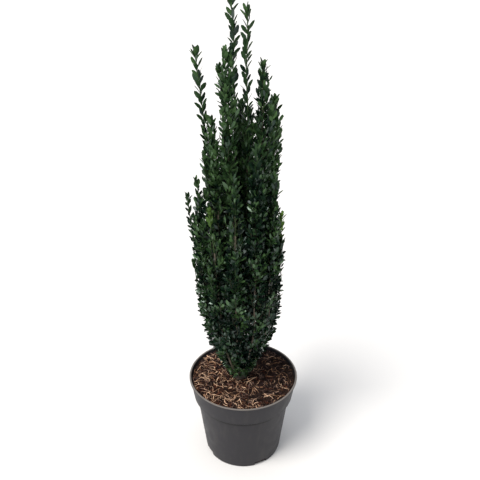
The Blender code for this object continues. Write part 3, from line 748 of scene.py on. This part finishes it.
def grow_leader(growth, leader, rough):
    """Single leaves in a spiral up a leader, and a cluster at its tip."""
    height = leader.low
    turn = rough.uniform(0.0, FULL_TURN)
    while height < leader.top - TIP_LENGTH:
        stem = direction_on(leader.path, height)
        slant = LEADER_SLANT * rough.uniform(0.72, 1.30)
        below_tip = leader.top - height
        if below_tip < NEAR_TIP:
            slant *= 0.75
        if height < leader.open_from:
            slant *= DENSE_SLANT
        along = leaning(turn, slant, stem)
        kind = leader_kind(leader, below_tip, rough)
        face = stem + random_side(stem, rough) * 0.60
        size = leader.leaf * rough.uniform(0.82, 1.08)
        add_leaf(growth, leader.path(height), along, face, size, LEADER_LEAF_WIDTH, kind, rough)
        step = leader.step * rough.uniform(0.8, 1.2)
        height += step * (DENSE_STEP if height < leader.open_from or below_tip < leader.young else 1.0)
        turn += TURN + rough.uniform(-0.2, 0.2)
    tip = leader.path(leader.top)
    stem = direction_on(leader.path, leader.top - TIP_LENGTH)
    for k in range(LEAVES_IN_TIP):
        along = leaning(turn + k * TURN, radians(12 + 6.5 * k), stem)
        kind = leader_kind(leader, 0.0, rough)
        size = leader.leaf * (0.84 + 0.04 * k)
        root = tip - stem * TIP_LEAF_STEP * (k + 1)
        add_leaf(growth, root, along, stem, size, LEADER_LEAF_WIDTH, kind, rough)


def own_leader(shoot):
    """The leader that ends the shoot's own stem."""
    low = max(shoot.foliage_from, SINGLE_LEAVES_FROM)
    open_from = min(shoot.dense_to, shoot.bushy_to) - 0.02
    leaves = TALL_LEADER if shoot.top > 0.5 else SHORT_LEADER
    return Leader(partial(axis_point, shoot), low, open_from, shoot.top, *leaves, shoot.fresh, shoot.young)


def beside_leader(shoot, low, tip, top, fresh):
    """A leader that leaves the shoot's stem at a height and then stands beside it."""
    foot = axis_point(shoot, low)

    def path(height):
        share = within_one((height - low) / (top - low))
        out = 1 - (1 - share) ** 2
        return Vector((foot.x + (tip[0] - foot.x) * out, foot.y + (tip[1] - foot.y) * out, GROUND + height))

    return Leader(path, low + LEADER_BARE, low + 0.6 * (top - low), top, *SHORT_LEADER, fresh, 0.0)


def grow_beside_leaders(shoot, growth, rough):
    """The leaders that are seen beside the shoot's own, and some like them inside the crown's upper part."""
    leaders = [beside_leader(shoot, *seen[1:]) for seen in SEEN_LEADERS if seen[0] == shoot.name]
    for number in range(LEADERS_BESIDE):
        top = shoot.bushy_to - rough.uniform(0.01, 0.08)
        low = top - rough.uniform(0.09, 0.14)
        angle = SHOOTS.index(shoot) + number * TURN
        offset = rough.uniform(0.010, 0.018)
        point = axis_point(shoot, top)
        tip = (point.x + offset * cos(angle), point.y + offset * sin(angle))
        leaders.append(beside_leader(shoot, low, tip, top, shoot.fresh))
    for leader in leaders:
        foot = leader.low - LEADER_BARE
        points = [leader.path(foot + (leader.top - foot) * k / (TWIG_RINGS - 1)) for k in range(TWIG_RINGS)]
        growth.twigs.append(Twig(points, TWIG_RADIUS * 1.5, TWIG_RADIUS * 0.7, GREEN_TWIG))
        grow_leader(growth, leader, rough)


def grow(shoot):
    """All leaves and twigs of one shoot."""
    rough = random.Random(f"{SEED} looks {shoot.name}")
    growth = Growth([], [])
    if shoot.outer:
        grow_low_sprays(shoot, growth, rough)
    grow_side_sprays(shoot, growth, rough)
    grow_shade_leaves(shoot, growth, rough)
    grow_leader(growth, own_leader(shoot), rough)
    grow_beside_leaders(shoot, growth, rough)
    leaves = [g for g in growth.leaves if not beside_right_plume(shoot, g.root + g.along * g.length)]
    twigs = [g for g in growth.twigs if not beside_right_plume(shoot, g.points[-1])]
    return Growth(leaves, twigs)


# Meshes of the leaves, twigs and stems


# A closed leaf's points are (across, along, lift): its root, the rows of its left edge, of its right edge,
# of its face and of its underside, and its tip. The faces here are those of its upper side
LEAF_POINTS = np.array([
    (0, 0, 0),
    *((side * width, share, 0) for side in (-1, 1) for share, width in LEAF_ROWS),
    *((0, share, lift) for lift in (0.5, -1) for share, _ in LEAF_ROWS),
    (0, 1, 0),
])
LEAF_QUADS = ((7, 4, 5, 8), (1, 7, 8, 2), (8, 5, 6, 9), (2, 8, 9, 3))
LEAF_ENDS = ((0, 4, 7), (0, 7, 1), (9, 6, 13), (3, 9, 13))
LEAF_RIM = (0, 1, 2, 3, 4, 5, 6, 13)


def both_sides(faces):
    """A leaf's upper faces, and then the same ones turned over on the rows of its underside."""
    rows = len(LEAF_ROWS)
    upper = range(2 * rows + 1, 3 * rows + 1)
    return np.array([*faces, *([p + rows if p in upper else p for p in face[::-1]] for face in faces)])


def leaf_mesh(name, leaves):
    """One joined mesh of leaves. Each leaf has a glossy face and a paler underside of its own colour."""
    root, along, face = (np.array([leaf[k] for leaf in leaves]) for k in range(3))
    length, half, fold, curl, kind = np.array([leaf[3:] for leaf in leaves]).T
    along = unit(along)
    side = unit(np.cross(along, face))
    up = np.cross(side, along)
    across = LEAF_POINTS[:, 0] * half[:, None]
    forward = LEAF_POINTS[:, 1] * length[:, None]
    rise = np.abs(across) * fold[:, None] + LEAF_POINTS[:, 2] * LEAF_THICKNESS
    rise -= curl[:, None] * length[:, None] * LEAF_POINTS[:, 1] ** 2
    points = root[:, None] + across[..., None] * side[:, None] + forward[..., None] * along[:, None]
    points += rise[..., None] * up[:, None]
    obj = joined_mesh(name, points, [both_sides(LEAF_QUADS), both_sides(LEAF_ENDS)], 2 * kind, under=1)
    ends = np.empty(2 * len(obj.data.edges), np.int32)
    obj.data.edges.foreach_get("vertices", ends)
    on_rim = np.isin(ends % len(LEAF_POINTS), LEAF_RIM).reshape(-1, 2).all(axis=1)
    obj.data.edges.foreach_set("use_edge_sharp", on_rim)
    return obj


def tube_mesh(name, tubes, sides):
    """One joined mesh of closed tubes, all with the same count of points. tubes are (points, radii, slot)."""
    path, radii, slot = (np.array(column) for column in zip(*tubes))
    count, rings = path.shape[:2]
    way = unit(np.gradient(path, axis=1))
    side = unit(np.cross(way, np.array([0.31, 0.94, 0.12])))
    other = np.cross(way, side)
    angle = around(sides)
    ring = np.cos(angle)[:, None] * side[:, :, None] + np.sin(angle)[:, None] * other[:, :, None]
    skin = path[:, :, None] + ring * (radii[:, :, None, None] if radii.ndim == 2 else radii[..., None])
    ends = np.stack([path[:, 0], path[:, -1]], axis=1)
    points = np.concatenate([skin.reshape(count, -1, 3), ends], axis=1)
    return joined_mesh(name, points, [ring_quads(rings, sides), end_triangles(rings, sides)], slot)


def build_foliage():
    """The leaves of each shoot as one piece and its twigs as another."""
    leaf_materials = []
    for name, colour, gloss in LEAF_KINDS:
        pale = tuple(c * UNDERSIDE_PALER for c in colour)
        leaf_materials += [
            plain_material(f"leaf_{name}", colour, LEAF_ROUGHNESS, gloss, GLOSS_TINT),
            plain_material(f"leaf_{name}_underside", pale, UNDERSIDE_ROUGHNESS, UNDERSIDE_GLOSS),
        ]
    twig_materials = [plain_material(name, colour, 0.75, 0.3) for name, colour in TWIG_COLOURS]
    for shoot in SHOOTS:
        growth = grow(shoot)
        node = f"foliage_{shoot.name}"
        dress(leaf_mesh(f"leaves_{shoot.name}", growth.leaves), leaf_materials, "holly_leaves", node)
        tubes = [
            (t.points, np.linspace(t.start_radius, t.end_radius, TWIG_RINGS), t.kind)
            for t in growth.twigs
        ]
        dress(tube_mesh(f"twigs_{shoot.name}", tubes, TWIG_SIDES), twig_materials, "holly_leaves", node)


def stem_relief(angle, height, seed, depth):
    """Fine lengthwise ridges and small swellings of bark, as a share of the radius."""
    ridges = np.sin(5 * angle + 2.2 * np.sin(height * 90 + seed)) + 0.6 * np.sin(9 * angle - height * 140)
    swelling = np.sin(height * 310 + seed * 2.3) * np.sin(height * 73 + seed)
    return 1 + depth * (0.6 * ridges + 0.9 * swelling)


def stem_tube(shoot, low, high, sides, depth, slot, collar=0.0):
    """A length of a shoot's stem with its bark's relief, as tube_mesh needs it. A collar widens its start."""
    heights = np.linspace(low, high, 40)
    base = np.array([stem_radius(shoot, h) for h in heights])
    base = base * (1 + collar * np.exp(-(heights - low) / COLLAR_HEIGHT))
    relief = stem_relief(around(sides)[None], heights[:, None], SHOOTS.index(shoot), depth)
    return [axis_point(shoot, h) for h in heights], base[:, None] * relief, slot


def build_stems(bark, materials):
    """The bare limbs as one piece, and the stems that carry them on to the tips as another."""
    limbs = []
    stems = []
    for shoot in SHOOTS:
        low, high = FEET[shoot.name][2] - INTO_TRUNK, shoot.foliage_from + 0.002
        limbs.append(stem_tube(shoot, low, high, sides=10, depth=0.045, slot=0, collar=0.55))
        wood_to = shoot.dense_to - 0.02
        for low, high, slot in (
            (shoot.foliage_from, wood_to, OLD_WOOD),
            (wood_to - 0.001, shoot.top, GREEN_TWIG),
        ):
            stems.append(stem_tube(shoot, low, high, sides=8, depth=0.03, slot=slot))
    names = [f"limb_{s.name}" for s in SHOOTS]
    dress(tube_mesh("limbs", limbs, sides=10), [bark], "holly_bark", *names)
    dress(tube_mesh("stems", stems, sides=8), materials, "holly_bark")


def build_trunk(bark):
    """The short trunk with its root flare, ridges and bark relief."""
    sides = 56
    angle = around(sides)
    heights = np.linspace(-INTO_GROUND, TRUNK_HEIGHT + 0.001, 34)
    share = np.clip(heights / TRUNK_HEIGHT, 0.0, 1.0)[:, None]
    ridges = 1 + RIDGE_HEIGHT * (1 - share) ** 4 * np.cos(ROOT_RIDGES * angle)
    relief = stem_relief(2 * angle, heights[:, None], seed=3.0, depth=0.022)
    radii = trunk_radius(share * TRUNK_HEIGHT) * ridges * relief
    path = [Vector((TRUNK_X, 0.0, GROUND + h)) for h in heights]
    dress(tube_mesh("trunk_bark", [(path, radii, 0)], sides), [bark], "holly_bark", "trunk")


# The pot and what fills it


def body_radius(height):
    """Outer radius of the pot's wall below its band."""
    return BASE_RADIUS + (BODY_TOP_RADIUS - BASE_RADIUS) * (height / STEP_BOTTOM)


def arc(centre, radius, start, end, count):
    """Points (radius, height) on an arc, with angles in degrees."""
    angles = [radians(start + (end - start) * k / (count - 1)) for k in range(count)]
    return [(centre[0] + radius * cos(a), centre[1] + radius * sin(a)) for a in angles]


def inner_wall():
    """(radius, height) up the pot's inner wall, from its floor to its rim."""
    return (
        (body_radius(FLOOR) - WALL, FLOOR),
        (BODY_TOP_RADIUS - WALL, STEP_BOTTOM + STEP_LIFT),
        (BAND_BOTTOM_RADIUS - WALL, BAND_BOTTOM + STEP_LIFT),
        (RIM_RADIUS - RIM_WIDTH, POT_HEIGHT),
    )


def lathe(name, profile, sides):
    """A closed solid of revolution through (radius, height) points."""
    angle = around(sides)
    radius, height = np.array(profile).T[:, :, None]
    skin = np.stack([radius * np.cos(angle), radius * np.sin(angle), height + 0 * angle], axis=-1)
    ends = [(0.0, 0.0, profile[0][1]), (0.0, 0.0, profile[-1][1])]
    points = np.concatenate([skin.reshape(-1, 3), ends])
    walls = ring_quads(len(profile), sides)[:, [0, 3, 2, 1]]
    caps = end_triangles(len(profile), sides)[:, [1, 0, 2]]
    return joined_mesh(name, points[None], [walls, caps], np.zeros(1))


def pot_profile():
    """(radius, height) up the pot's outside, over its rounded lip and down its inside."""
    lip_bottom = POT_HEIGHT - LIP_DEPTH
    inside_x = RIM_RADIUS - RIM_WIDTH + RIM_INSIDE_ROUND
    profile = arc((BASE_RADIUS - FOOT_ROUND, FOOT_ROUND), FOOT_ROUND, -90, -8, 6)
    profile += [(body_radius(h), h) for h in np.linspace(0.006, STEP_BOTTOM - 0.0012, 9)]
    profile += arc((BODY_TOP_RADIUS + 0.0008, STEP_BOTTOM - 0.0002), STEP_ROUND, 190, 120, 4)
    profile += arc((BAND_BOTTOM_RADIUS - BAND_ROUND, BAND_BOTTOM + BAND_ROUND), BAND_ROUND, -70, 8, 5)
    for share in np.linspace(0.15, 0.96, 6):
        radius = BAND_BOTTOM_RADIUS + (BAND_TOP_RADIUS - BAND_BOTTOM_RADIUS) * share
        profile.append((radius, BAND_BOTTOM + (lip_bottom - BAND_BOTTOM) * share))
    profile += arc((RIM_RADIUS - LIP_FOOT_ROUND, lip_bottom + LIP_FOOT_ROUND), LIP_FOOT_ROUND, -80, 0, 4)
    profile += arc((RIM_RADIUS - LIP_ROUND, POT_HEIGHT - LIP_ROUND), LIP_ROUND, 0, 90, 6)
    profile += arc((inside_x, POT_HEIGHT - RIM_INSIDE_ROUND), RIM_INSIDE_ROUND, 90, 180, 5)
    return [*profile, *reversed(inner_wall()[:3]), (0.02, FLOOR)]


def build_pot():
    """The pot with a rounded lip, its band and step, and the drain notches round its foot."""
    pot = lathe("nursery_pot", pot_profile(), sides=160)
    cut_drains(pot)
    dress(pot, [pot_material()], "pot_plastic", "pot")


def cut_drains(pot):
    """Cuts the notches through the corner between the pot's wall and floor."""
    shape = bmesh.new()
    radial, across, tall = DRAIN_SIZE
    for number in range(DRAIN_COUNT):
        made = bmesh.ops.create_cube(shape, size=1.0)["verts"]
        bmesh.ops.scale(shape, vec=(radial, across, 2 * tall), verts=made)
        bmesh.ops.translate(shape, vec=(DRAIN_RADIUS, 0.0, 0.0), verts=made)
        turn = Matrix.Rotation(FIRST_DRAIN + FULL_TURN * number / DRAIN_COUNT, 3, UP)
        bmesh.ops.rotate(shape, cent=(0, 0, 0), matrix=turn, verts=made)
    edges = [e for e in shape.edges if abs(e.verts[0].co.z - e.verts[1].co.z) > tall or e.verts[0].co.z > 0]
    bmesh.ops.bevel(shape, geom=edges, offset=0.0016, segments=3, affect="EDGES")
    cutter = place_shape("drain_cutters", shape)
    cut = pot.modifiers.new("drains", "BOOLEAN")
    cut.operation = "DIFFERENCE"
    cut.object = cutter
    cut.solver = "EXACT"
    bpy.context.view_layer.update()
    evaluated = pot.evaluated_get(bpy.context.evaluated_depsgraph_get())
    pot.data = bpy.data.meshes.new_from_object(evaluated)
    pot.modifiers.clear()
    bpy.data.objects.remove(cutter, do_unlink=True)
    pot.data.shade_smooth()
    pot.data.set_sharp_from_angle(angle=radians(35))


def uneven(x, y, seed, scale, waves=9):
    """A smooth uneven height field between about -1 and 1."""
    rough = np.random.default_rng(seed)
    total = np.zeros(np.broadcast(x, y).shape)
    for _ in range(waves):
        heading, phase = rough.uniform(0, FULL_TURN, 2)
        wave = rough.uniform(0.6, 1.8) / scale
        total += np.sin((x * cos(heading) + y * sin(heading)) * wave * FULL_TURN + phase)
    return total / 4.2


def soil_height(x, y):
    """Height of the medium's surface, with a low mound and an uneven top."""
    share = np.clip(np.hypot(x, y) / soil_edge(), 0.0, 1.0)
    level = GROUND - (GROUND - SOIL_AT_WALL) * share**2 - 0.0006
    for height, seed, length in SOIL_WAVES:
        level = level + height * uneven(x, y, seed, length)
    return level


def soil_edge():
    """Radius of the medium where its surface meets the pot's wall."""
    step, rim = inner_wall()[2:]
    share = (SOIL_AT_WALL - step[1]) / (rim[1] - step[1])
    return step[0] + share * (rim[0] - step[0]) - GAP


def build_soil():
    """The medium that fills the pot, closed, with a fine uneven surface."""
    wall = inner_wall()
    profile = [(wall[0][0] - GAP, FLOOR + GAP)]
    profile += [(r - GAP, h + GAP) for r, h in wall[1:3]]
    profile += [(soil_edge() * share, SOIL_AT_WALL) for share in np.linspace(1.0, 0.01, 64)]
    soil = lathe("soil", profile, sides=180)
    points = np.empty(3 * len(soil.data.vertices), np.float32)
    soil.data.vertices.foreach_get("co", points)
    points = points.reshape(-1, 3)
    surface = points[:, 2] > SOIL_AT_WALL - 0.0005
    points[surface, 2] = soil_height(points[surface, 0], points[surface, 1])
    soil.data.vertices.foreach_set("co", points.ravel())
    dress(soil, [soil_material()], "bark_mulch", "growing_medium")


def lit_and_warm(x, y):
    """How pale and reddish the mulch is at a place, partly its own colour and partly painted light: 1 at the
    front left and 0 at the right and back.
    """
    return within_one(0.48 - x / 0.20 - y / 0.26)


def pick_tone(x, y, rough, on_top=False):
    """The colour of a shred: pale and reddish at the front left, partly painted light, and paler on top than
    underneath, where the darker tones are partly painted shade.
    """
    lit_warm = lit_and_warm(x, y)
    value = rough.random()
    for share, lit_warmer, tone in TOP_TONES if on_top else UNDER_TONES:
        if value < share + lit_warmer * lit_warm:
            return tone
    if on_top:
        return 2 if lit_warm > 0.5 else 3
    return 3 if rough.random() < 0.5 else 0


def random_place(margin, rough):
    """A random place on the medium, at least a margin from the pot's wall."""
    radius = (soil_edge() - margin) * sqrt(rough.random())
    bearing = rough.uniform(0, FULL_TURN)
    return radius * cos(bearing), radius * sin(bearing)


def strand_row(x, y, layer, rough):
    """One curved shred round a place: its points, its half widths and its tone."""
    length = shred_size(layer.length, rough)
    width = shred_size(layer.width, rough)
    lie = rough.uniform(*layer.lie)
    tone = pick_tone(x, y, rough, layer.on_top)
    steps = np.linspace(-0.5, 0.5, layer.rings)
    bend = rough.gauss(0.0, layer.curl)
    twist = rough.gauss(0.0, layer.curl)
    angles = rough.uniform(0, FULL_TURN) + bend * steps + twist * steps**2 * 2
    dx = np.cumsum(np.cos(angles)) * length / layer.rings
    dy = np.cumsum(np.sin(angles)) * length / layer.rings
    px, py = x + dx - dx.mean(), y + dy - dy.mean()
    far = np.maximum(1.0, np.hypot(px, py) / (soil_edge() - 0.0025))
    px, py = px / far, py / far
    lift = abs(rough.gauss(0.0, 0.0011)) * (1 - 4 * steps**2) * 1.5
    tilt = rough.gauss(0.0, 0.0007) * steps * 2
    pz = soil_height(px, py) + lie + np.maximum(lift + tilt, -lie) + width * 0.3
    taper = (1 - (2 * np.abs(steps)) ** 3) * 0.75 + 0.25
    return np.stack([px, py, pz], axis=1), taper * width / 2, tone


def shred_size(sizes, rough):
    """A random length or width: many are short, and none is longer than the longest."""
    shortest, mean_more, longest = sizes
    return min(longest, shortest + rough.expovariate(1 / mean_more))


def build_strands(materials):
    """Curved shreds of bark that lie over one another, with longer pale ones on top, which lie in clumps."""
    rough = random.Random(f"{SEED} strands")
    for layer in LAYERS:
        rows = []
        for _ in range(layer.places):
            x, y = random_place(STRAND_MARGIN, rough)
            if hypot(x - TRUNK_X, y) <= BARE_ROUND_TRUNK:
                continue
            if layer.on_top:
                clump = float(uneven(x, y, 9, CLUMP_SIZE))
                # Partly painted light: more pale shreds on top towards the front left
                if rough.random() > 0.58 + 0.24 * lit_and_warm(x, y) + 0.45 * clump:
                    continue
            rows.append(strand_row(x, y, layer, rough))
        dress(strip_mesh(f"mulch_{layer.piece}", rows, rough), materials, "bark_mulch")


def strip_mesh(name, rows, rough):
    """One joined mesh of closed flat strips, four-sided and rolled. rows are (points, half widths, slot)."""
    path, half, slot = (np.array(column) for column in zip(*rows))
    rings = path.shape[1]
    way = unit(np.gradient(path, axis=1))
    side = unit(np.cross(way, np.array([0.0, 0.0, 1.0])))
    up = np.cross(side, way)
    roll = np.array([rough.gauss(0.0, 0.5) for _ in rows])[:, None]
    roll = roll + np.linspace(-0.4, 0.4, rings) * np.array([rough.gauss(0.0, 1.0) for _ in rows])[:, None]
    flat = np.array([0.38 + 0.3 * rough.random() for _ in rows])[:, None, None]
    level, upright = np.cos(roll)[..., None], np.sin(roll)[..., None]
    wide = (side * level + up * upright) * half[..., None]
    deep = (up * level - side * upright) * half[..., None] * flat
    corners = np.stack([path + wide, path + deep, path - wide, path - deep], axis=2)
    last = (rings - 1) * 4
    caps = np.array([[0, 1, 2, 3], [last + 3, last + 2, last + 1, last]])
    template = np.concatenate([ring_quads(rings, 4), caps])
    return joined_mesh(name, corners.reshape(len(rows), -1, 3), [template], slot, smooth=False)


def chip_points(x, y, rough):
    """The points of one flat irregular chip of bark: its upper outline, then its lower one."""
    long, wide = rough.uniform(0.002, 0.0052), rough.uniform(0.0010, 0.0024)
    heading = rough.uniform(0, FULL_TURN)
    lean = (rough.gauss(0, 0.22), rough.gauss(0, 0.22))
    z = float(soil_height(x, y)) + rough.uniform(0.0004, 0.0022)
    outline = []
    for k in range(CHIP_CORNERS):
        angle = FULL_TURN * k / CHIP_CORNERS + rough.uniform(-0.25, 0.25)
        reach = rough.uniform(0.75, 1.1)
        across, along = wide * reach * sin(angle), long * reach * cos(angle)
        px = along * cos(heading) - across * sin(heading)
        py = along * sin(heading) + across * cos(heading)
        outline.append((x + px, y + py, z + px * lean[0] + py * lean[1]))
    thickness = rough.uniform(0.0005, 0.0013)
    return [(px, py, pz + thickness) for px, py, pz in outline] + outline


def build_chips(materials):
    """Flat chips of bark between the strands."""
    rough = random.Random(f"{SEED} chips")
    points = []
    slots = []
    for _ in range(CHIPS):
        x, y = random_place(0.005, rough)
        points.append(chip_points(x, y, rough))
        slots.append(min(DARK_MULCH - 1, pick_tone(x, y, rough)))
    ring = np.arange(CHIP_CORNERS)
    templates = [ring_quads(2, CHIP_CORNERS), np.stack([ring, CHIP_CORNERS + ring[::-1]])]
    obj = joined_mesh("mulch_chips", np.array(points), templates, np.array(slots), smooth=False)
    dress(obj, materials, "bark_mulch")


def build_crumbs(materials):
    """Small lumps of peat on the medium."""
    rng = np.random.default_rng(SEED)
    radius = (soil_edge() - 0.003) * np.sqrt(rng.random(CRUMBS))
    bearing = rng.uniform(0, FULL_TURN, CRUMBS)
    x, y = radius * np.cos(bearing), radius * np.sin(bearing)
    size = rng.uniform(0.0004, 0.0015, CRUMBS)
    z = soil_height(x, y) + size * 0.4
    shape = np.array(CRUMB_POINTS, float)[None] * size[:, None, None] * rng.uniform(0.7, 1.3, (CRUMBS, 6, 1))
    points = shape + np.stack([x, y, z], axis=1)[:, None]
    slots = rng.integers(0, 2, CRUMBS)
    obj = joined_mesh("peat_crumbs", points, [np.array(CRUMB_FACES)], slots, smooth=False)
    dress(obj, materials, "bark_mulch")


# Materials


class Nodes:
    """A short way to build a node tree."""

    def __init__(self, owner, shader="Principled BSDF"):
        owner.use_nodes = True
        self.owner = owner
        self.nodes = owner.node_tree.nodes
        self.shader = self.nodes[shader]

    def set(self, node, inputs):
        for key, value in inputs.items():
            if isinstance(value, bpy.types.NodeSocket):
                self.owner.node_tree.links.new(value, node.inputs[key])
            else:
                node.inputs[key].default_value = value

    def add(self, kind, output, inputs=None, **settings):
        """One output of a new node, whose inputs are set or joined."""
        node = self.nodes.new(f"ShaderNode{kind}")
        for key, value in settings.items():
            setattr(node, key, value)
        self.set(node, inputs or {})
        return node.outputs[output]

    def places(self, scale=(1.0, 1.0, 1.0)):
        """Object coordinates, stretched by a scale."""
        return self.add("Mapping", "Vector", {"Vector": self.add("TexCoord", "Object"), "Scale": scale})

    def noise(self, places, scale, detail=3.0, roughness=0.55):
        """A noise value between 0 and 1."""
        inputs = {"Vector": places, "Scale": scale, "Detail": detail, "Roughness": roughness}
        return self.add("TexNoise", "Fac", inputs)

    def ramp(self, value, places, colours):
        """Colours at places along a value."""
        made = self.add("ValToRGB", "Color", {"Fac": value})
        elements = made.node.color_ramp.elements
        while len(elements) < len(places):
            elements.new(0.5)
        for element, position, colour in zip(elements, places, colours):
            element.position = position
            element.color = (*colour, 1.0)
        return made

    def levels(self, value, low, high, to_low, to_high):
        """A value fitted from one range to another, and kept within it."""
        inputs = {"Value": value, "From Min": low, "From Max": high, "To Min": to_low, "To Max": to_high}
        return self.add("MapRange", "Result", inputs)

    def mix(self, share, base, colour):
        """A base with a colour mixed in by a share."""
        return self.add("Mix", 2, {0: share, 6: base, 7: (*colour, 1.0)}, data_type="RGBA")

    def surface(self, colour, roughness, specular, relief, strength, distance):
        """Gives the material its surface, with a bump by a relief value, and returns it."""
        bump = self.add("Bump", "Normal", {"Height": relief, "Strength": strength, "Distance": distance})
        self.set(self.shader, {"Base Color": colour, "Roughness": roughness})
        self.set(self.shader, {"Specular IOR Level": specular, "Normal": bump})
        return self.owner


def plain_material(name, colour, roughness, specular, tint=(1.0, 1.0, 1.0, 1.0)):
    """A material of one base colour."""
    n = Nodes(bpy.data.materials.new(name))
    n.set(n.shader, {"Base Color": (*colour, 1.0), "Roughness": roughness})
    n.set(n.shader, {"Specular IOR Level": specular, "Specular Tint": tint})
    return n.owner


def pot_material():
    """Dark grey recycled plastic: faint mottling, streaks of dust, painted shade under the band and a painted
    highlight on the rim.
    """
    n = Nodes(bpy.data.materials.new("pot_plastic_worn"))
    places = n.places()
    mottle = n.noise(places, 55.0, 4.0)
    streaks = n.noise(n.places((14.0, 14.0, 2.5)), 6.0)
    height = n.add("SeparateXYZ", "Z", {"Vector": places})
    dusty = n.levels(streaks, 0.52, 0.80, 0.0, 0.30)
    # Painted shade: a dark band on the wall just under the pot's band, where its overhang shades it
    crease = n.levels(height, BAND_BOTTOM - 0.0125, BAND_BOTTOM - 0.0085, 0.0, 0.8)
    under_band = n.levels(height, BAND_BOTTOM - 0.0014, BAND_BOTTOM - 0.0004, 1.0, 0.0)
    painted_shade_share = n.add("Math", 0, {0: crease, 1: under_band}, operation="MULTIPLY")
    # Painted highlight: a pale line round the top of the rim
    near_rim = n.levels(height, POT_HEIGHT - 0.0018, POT_HEIGHT - 0.0004, 0.0, 0.9)
    colour = n.mix(dusty, n.ramp(mottle, (0.30, 0.72), PLASTIC), DUST)
    colour = n.mix(near_rim, n.mix(painted_shade_share, colour, PAINTED_SHADE), PAINTED_RIM_HIGHLIGHT)
    roughness = n.levels(mottle, 0.3, 0.7, 0.42, 0.58)
    return n.surface(colour, roughness, 0.25, n.noise(places, 900.0, 2.0), 0.12, 0.0004)


def bark_material():
    """Smooth grey-brown bark with fine lengthwise streaks and small pale spots."""
    n = Nodes(bpy.data.materials.new("holly_bark_streaked"))
    streaks = n.noise(n.places((1.0, 1.0, 0.16)), 900.0, 4.0)
    cells = n.add("TexVoronoi", "Distance", {"Vector": n.places((1.0, 1.0, 1.8)), "Scale": 520.0})
    spots = n.levels(cells, 0.10, 0.24, 1.0, 0.0)
    colour = n.mix(spots, n.ramp(streaks, (0.30, 0.70), BARK), BARK_SPOT)
    return n.surface(colour, n.levels(streaks, 0.3, 0.7, 0.88, 0.72), 0.5, streaks, 0.5, 0.0004)


def soil_material():
    """Dark moist peat with lighter fibres in it."""
    n = Nodes(bpy.data.materials.new("moist_peat"))
    lumps = n.noise(n.places(), 260.0, 6.0, 0.65)
    pale = n.levels(n.noise(n.places((1.0, 3.0, 1.0)), 420.0), 0.62, 0.72, 0.0, 0.6)
    colour = n.mix(pale, n.ramp(lumps, (0.30, 0.62, 0.80), PEAT), PEAT_FIBRE)
    return n.surface(colour, 0.93, 0.15, lumps, 0.9, 0.0015)


# The camera, floor and lights


def build_stage():
    """A pale floor, a pale sky and one soft key light."""
    shape = bmesh.new()
    bmesh.ops.create_circle(shape, cap_ends=True, segments=96, radius=FLOOR_RADIUS)
    floor = place_shape("floor", shape)
    floor.location.z = -0.0002
    floor.data.materials.append(plain_material("pale_floor", (0.74, 0.74, 0.74), 0.8, 0.2))
    add_sky()
    key = bpy.data.lights.new("key_light", "SUN")
    key.energy = 3.4
    key.angle = radians(30)
    key.color = KEY_COLOUR
    place("key_light", key).rotation_euler = Vector(KEY_FROM).to_track_quat("Z", "Y").to_euler()


def add_sky():
    """A pale sky, white where it meets the floor and brightest overhead."""
    world = bpy.data.worlds.new("pale_sky")
    n = Nodes(world, "Background")
    height = n.add("SeparateXYZ", "Z", {"Vector": n.add("TexCoord", "Generated")})
    sines, levels = zip(*SKY_LEVELS)
    colours = [[level * share for share in SKY_TINT] for level in levels]
    n.set(n.shader, {"Color": n.ramp(height, sines, colours), "Strength": 0.85})
    bpy.context.scene.world = world


def build_camera():
    """The camera at the photograph's place, height and pitch."""
    data = bpy.data.cameras.new("camera")
    data.lens = CAMERA_LENS
    data.sensor_width = CAMERA_SENSOR
    camera = place("camera", data)
    camera.location = CAMERA_PLACE
    camera.rotation_euler = (CAMERA_PITCH, 0.0, 0.0)
    bpy.context.scene.camera = camera


def main():
    bpy.context.scene.view_settings.view_transform = "Standard"
    build_camera()
    build_stage()
    build_pot()
    build_soil()
    mulch = [plain_material(name, colour, 0.85, 0.12) for name, colour in MULCH_COLOURS]
    build_strands(mulch)
    build_chips(mulch[:DARK_MULCH])
    build_crumbs(mulch[:DARK_MULCH])
    bark = bark_material()
    build_trunk(bark)
    stems = [plain_material(f"stem_{name}", colour, 0.7, 0.35) for name, colour in TWIG_COLOURS]
    build_stems(bark, stems)
    build_foliage()


main()
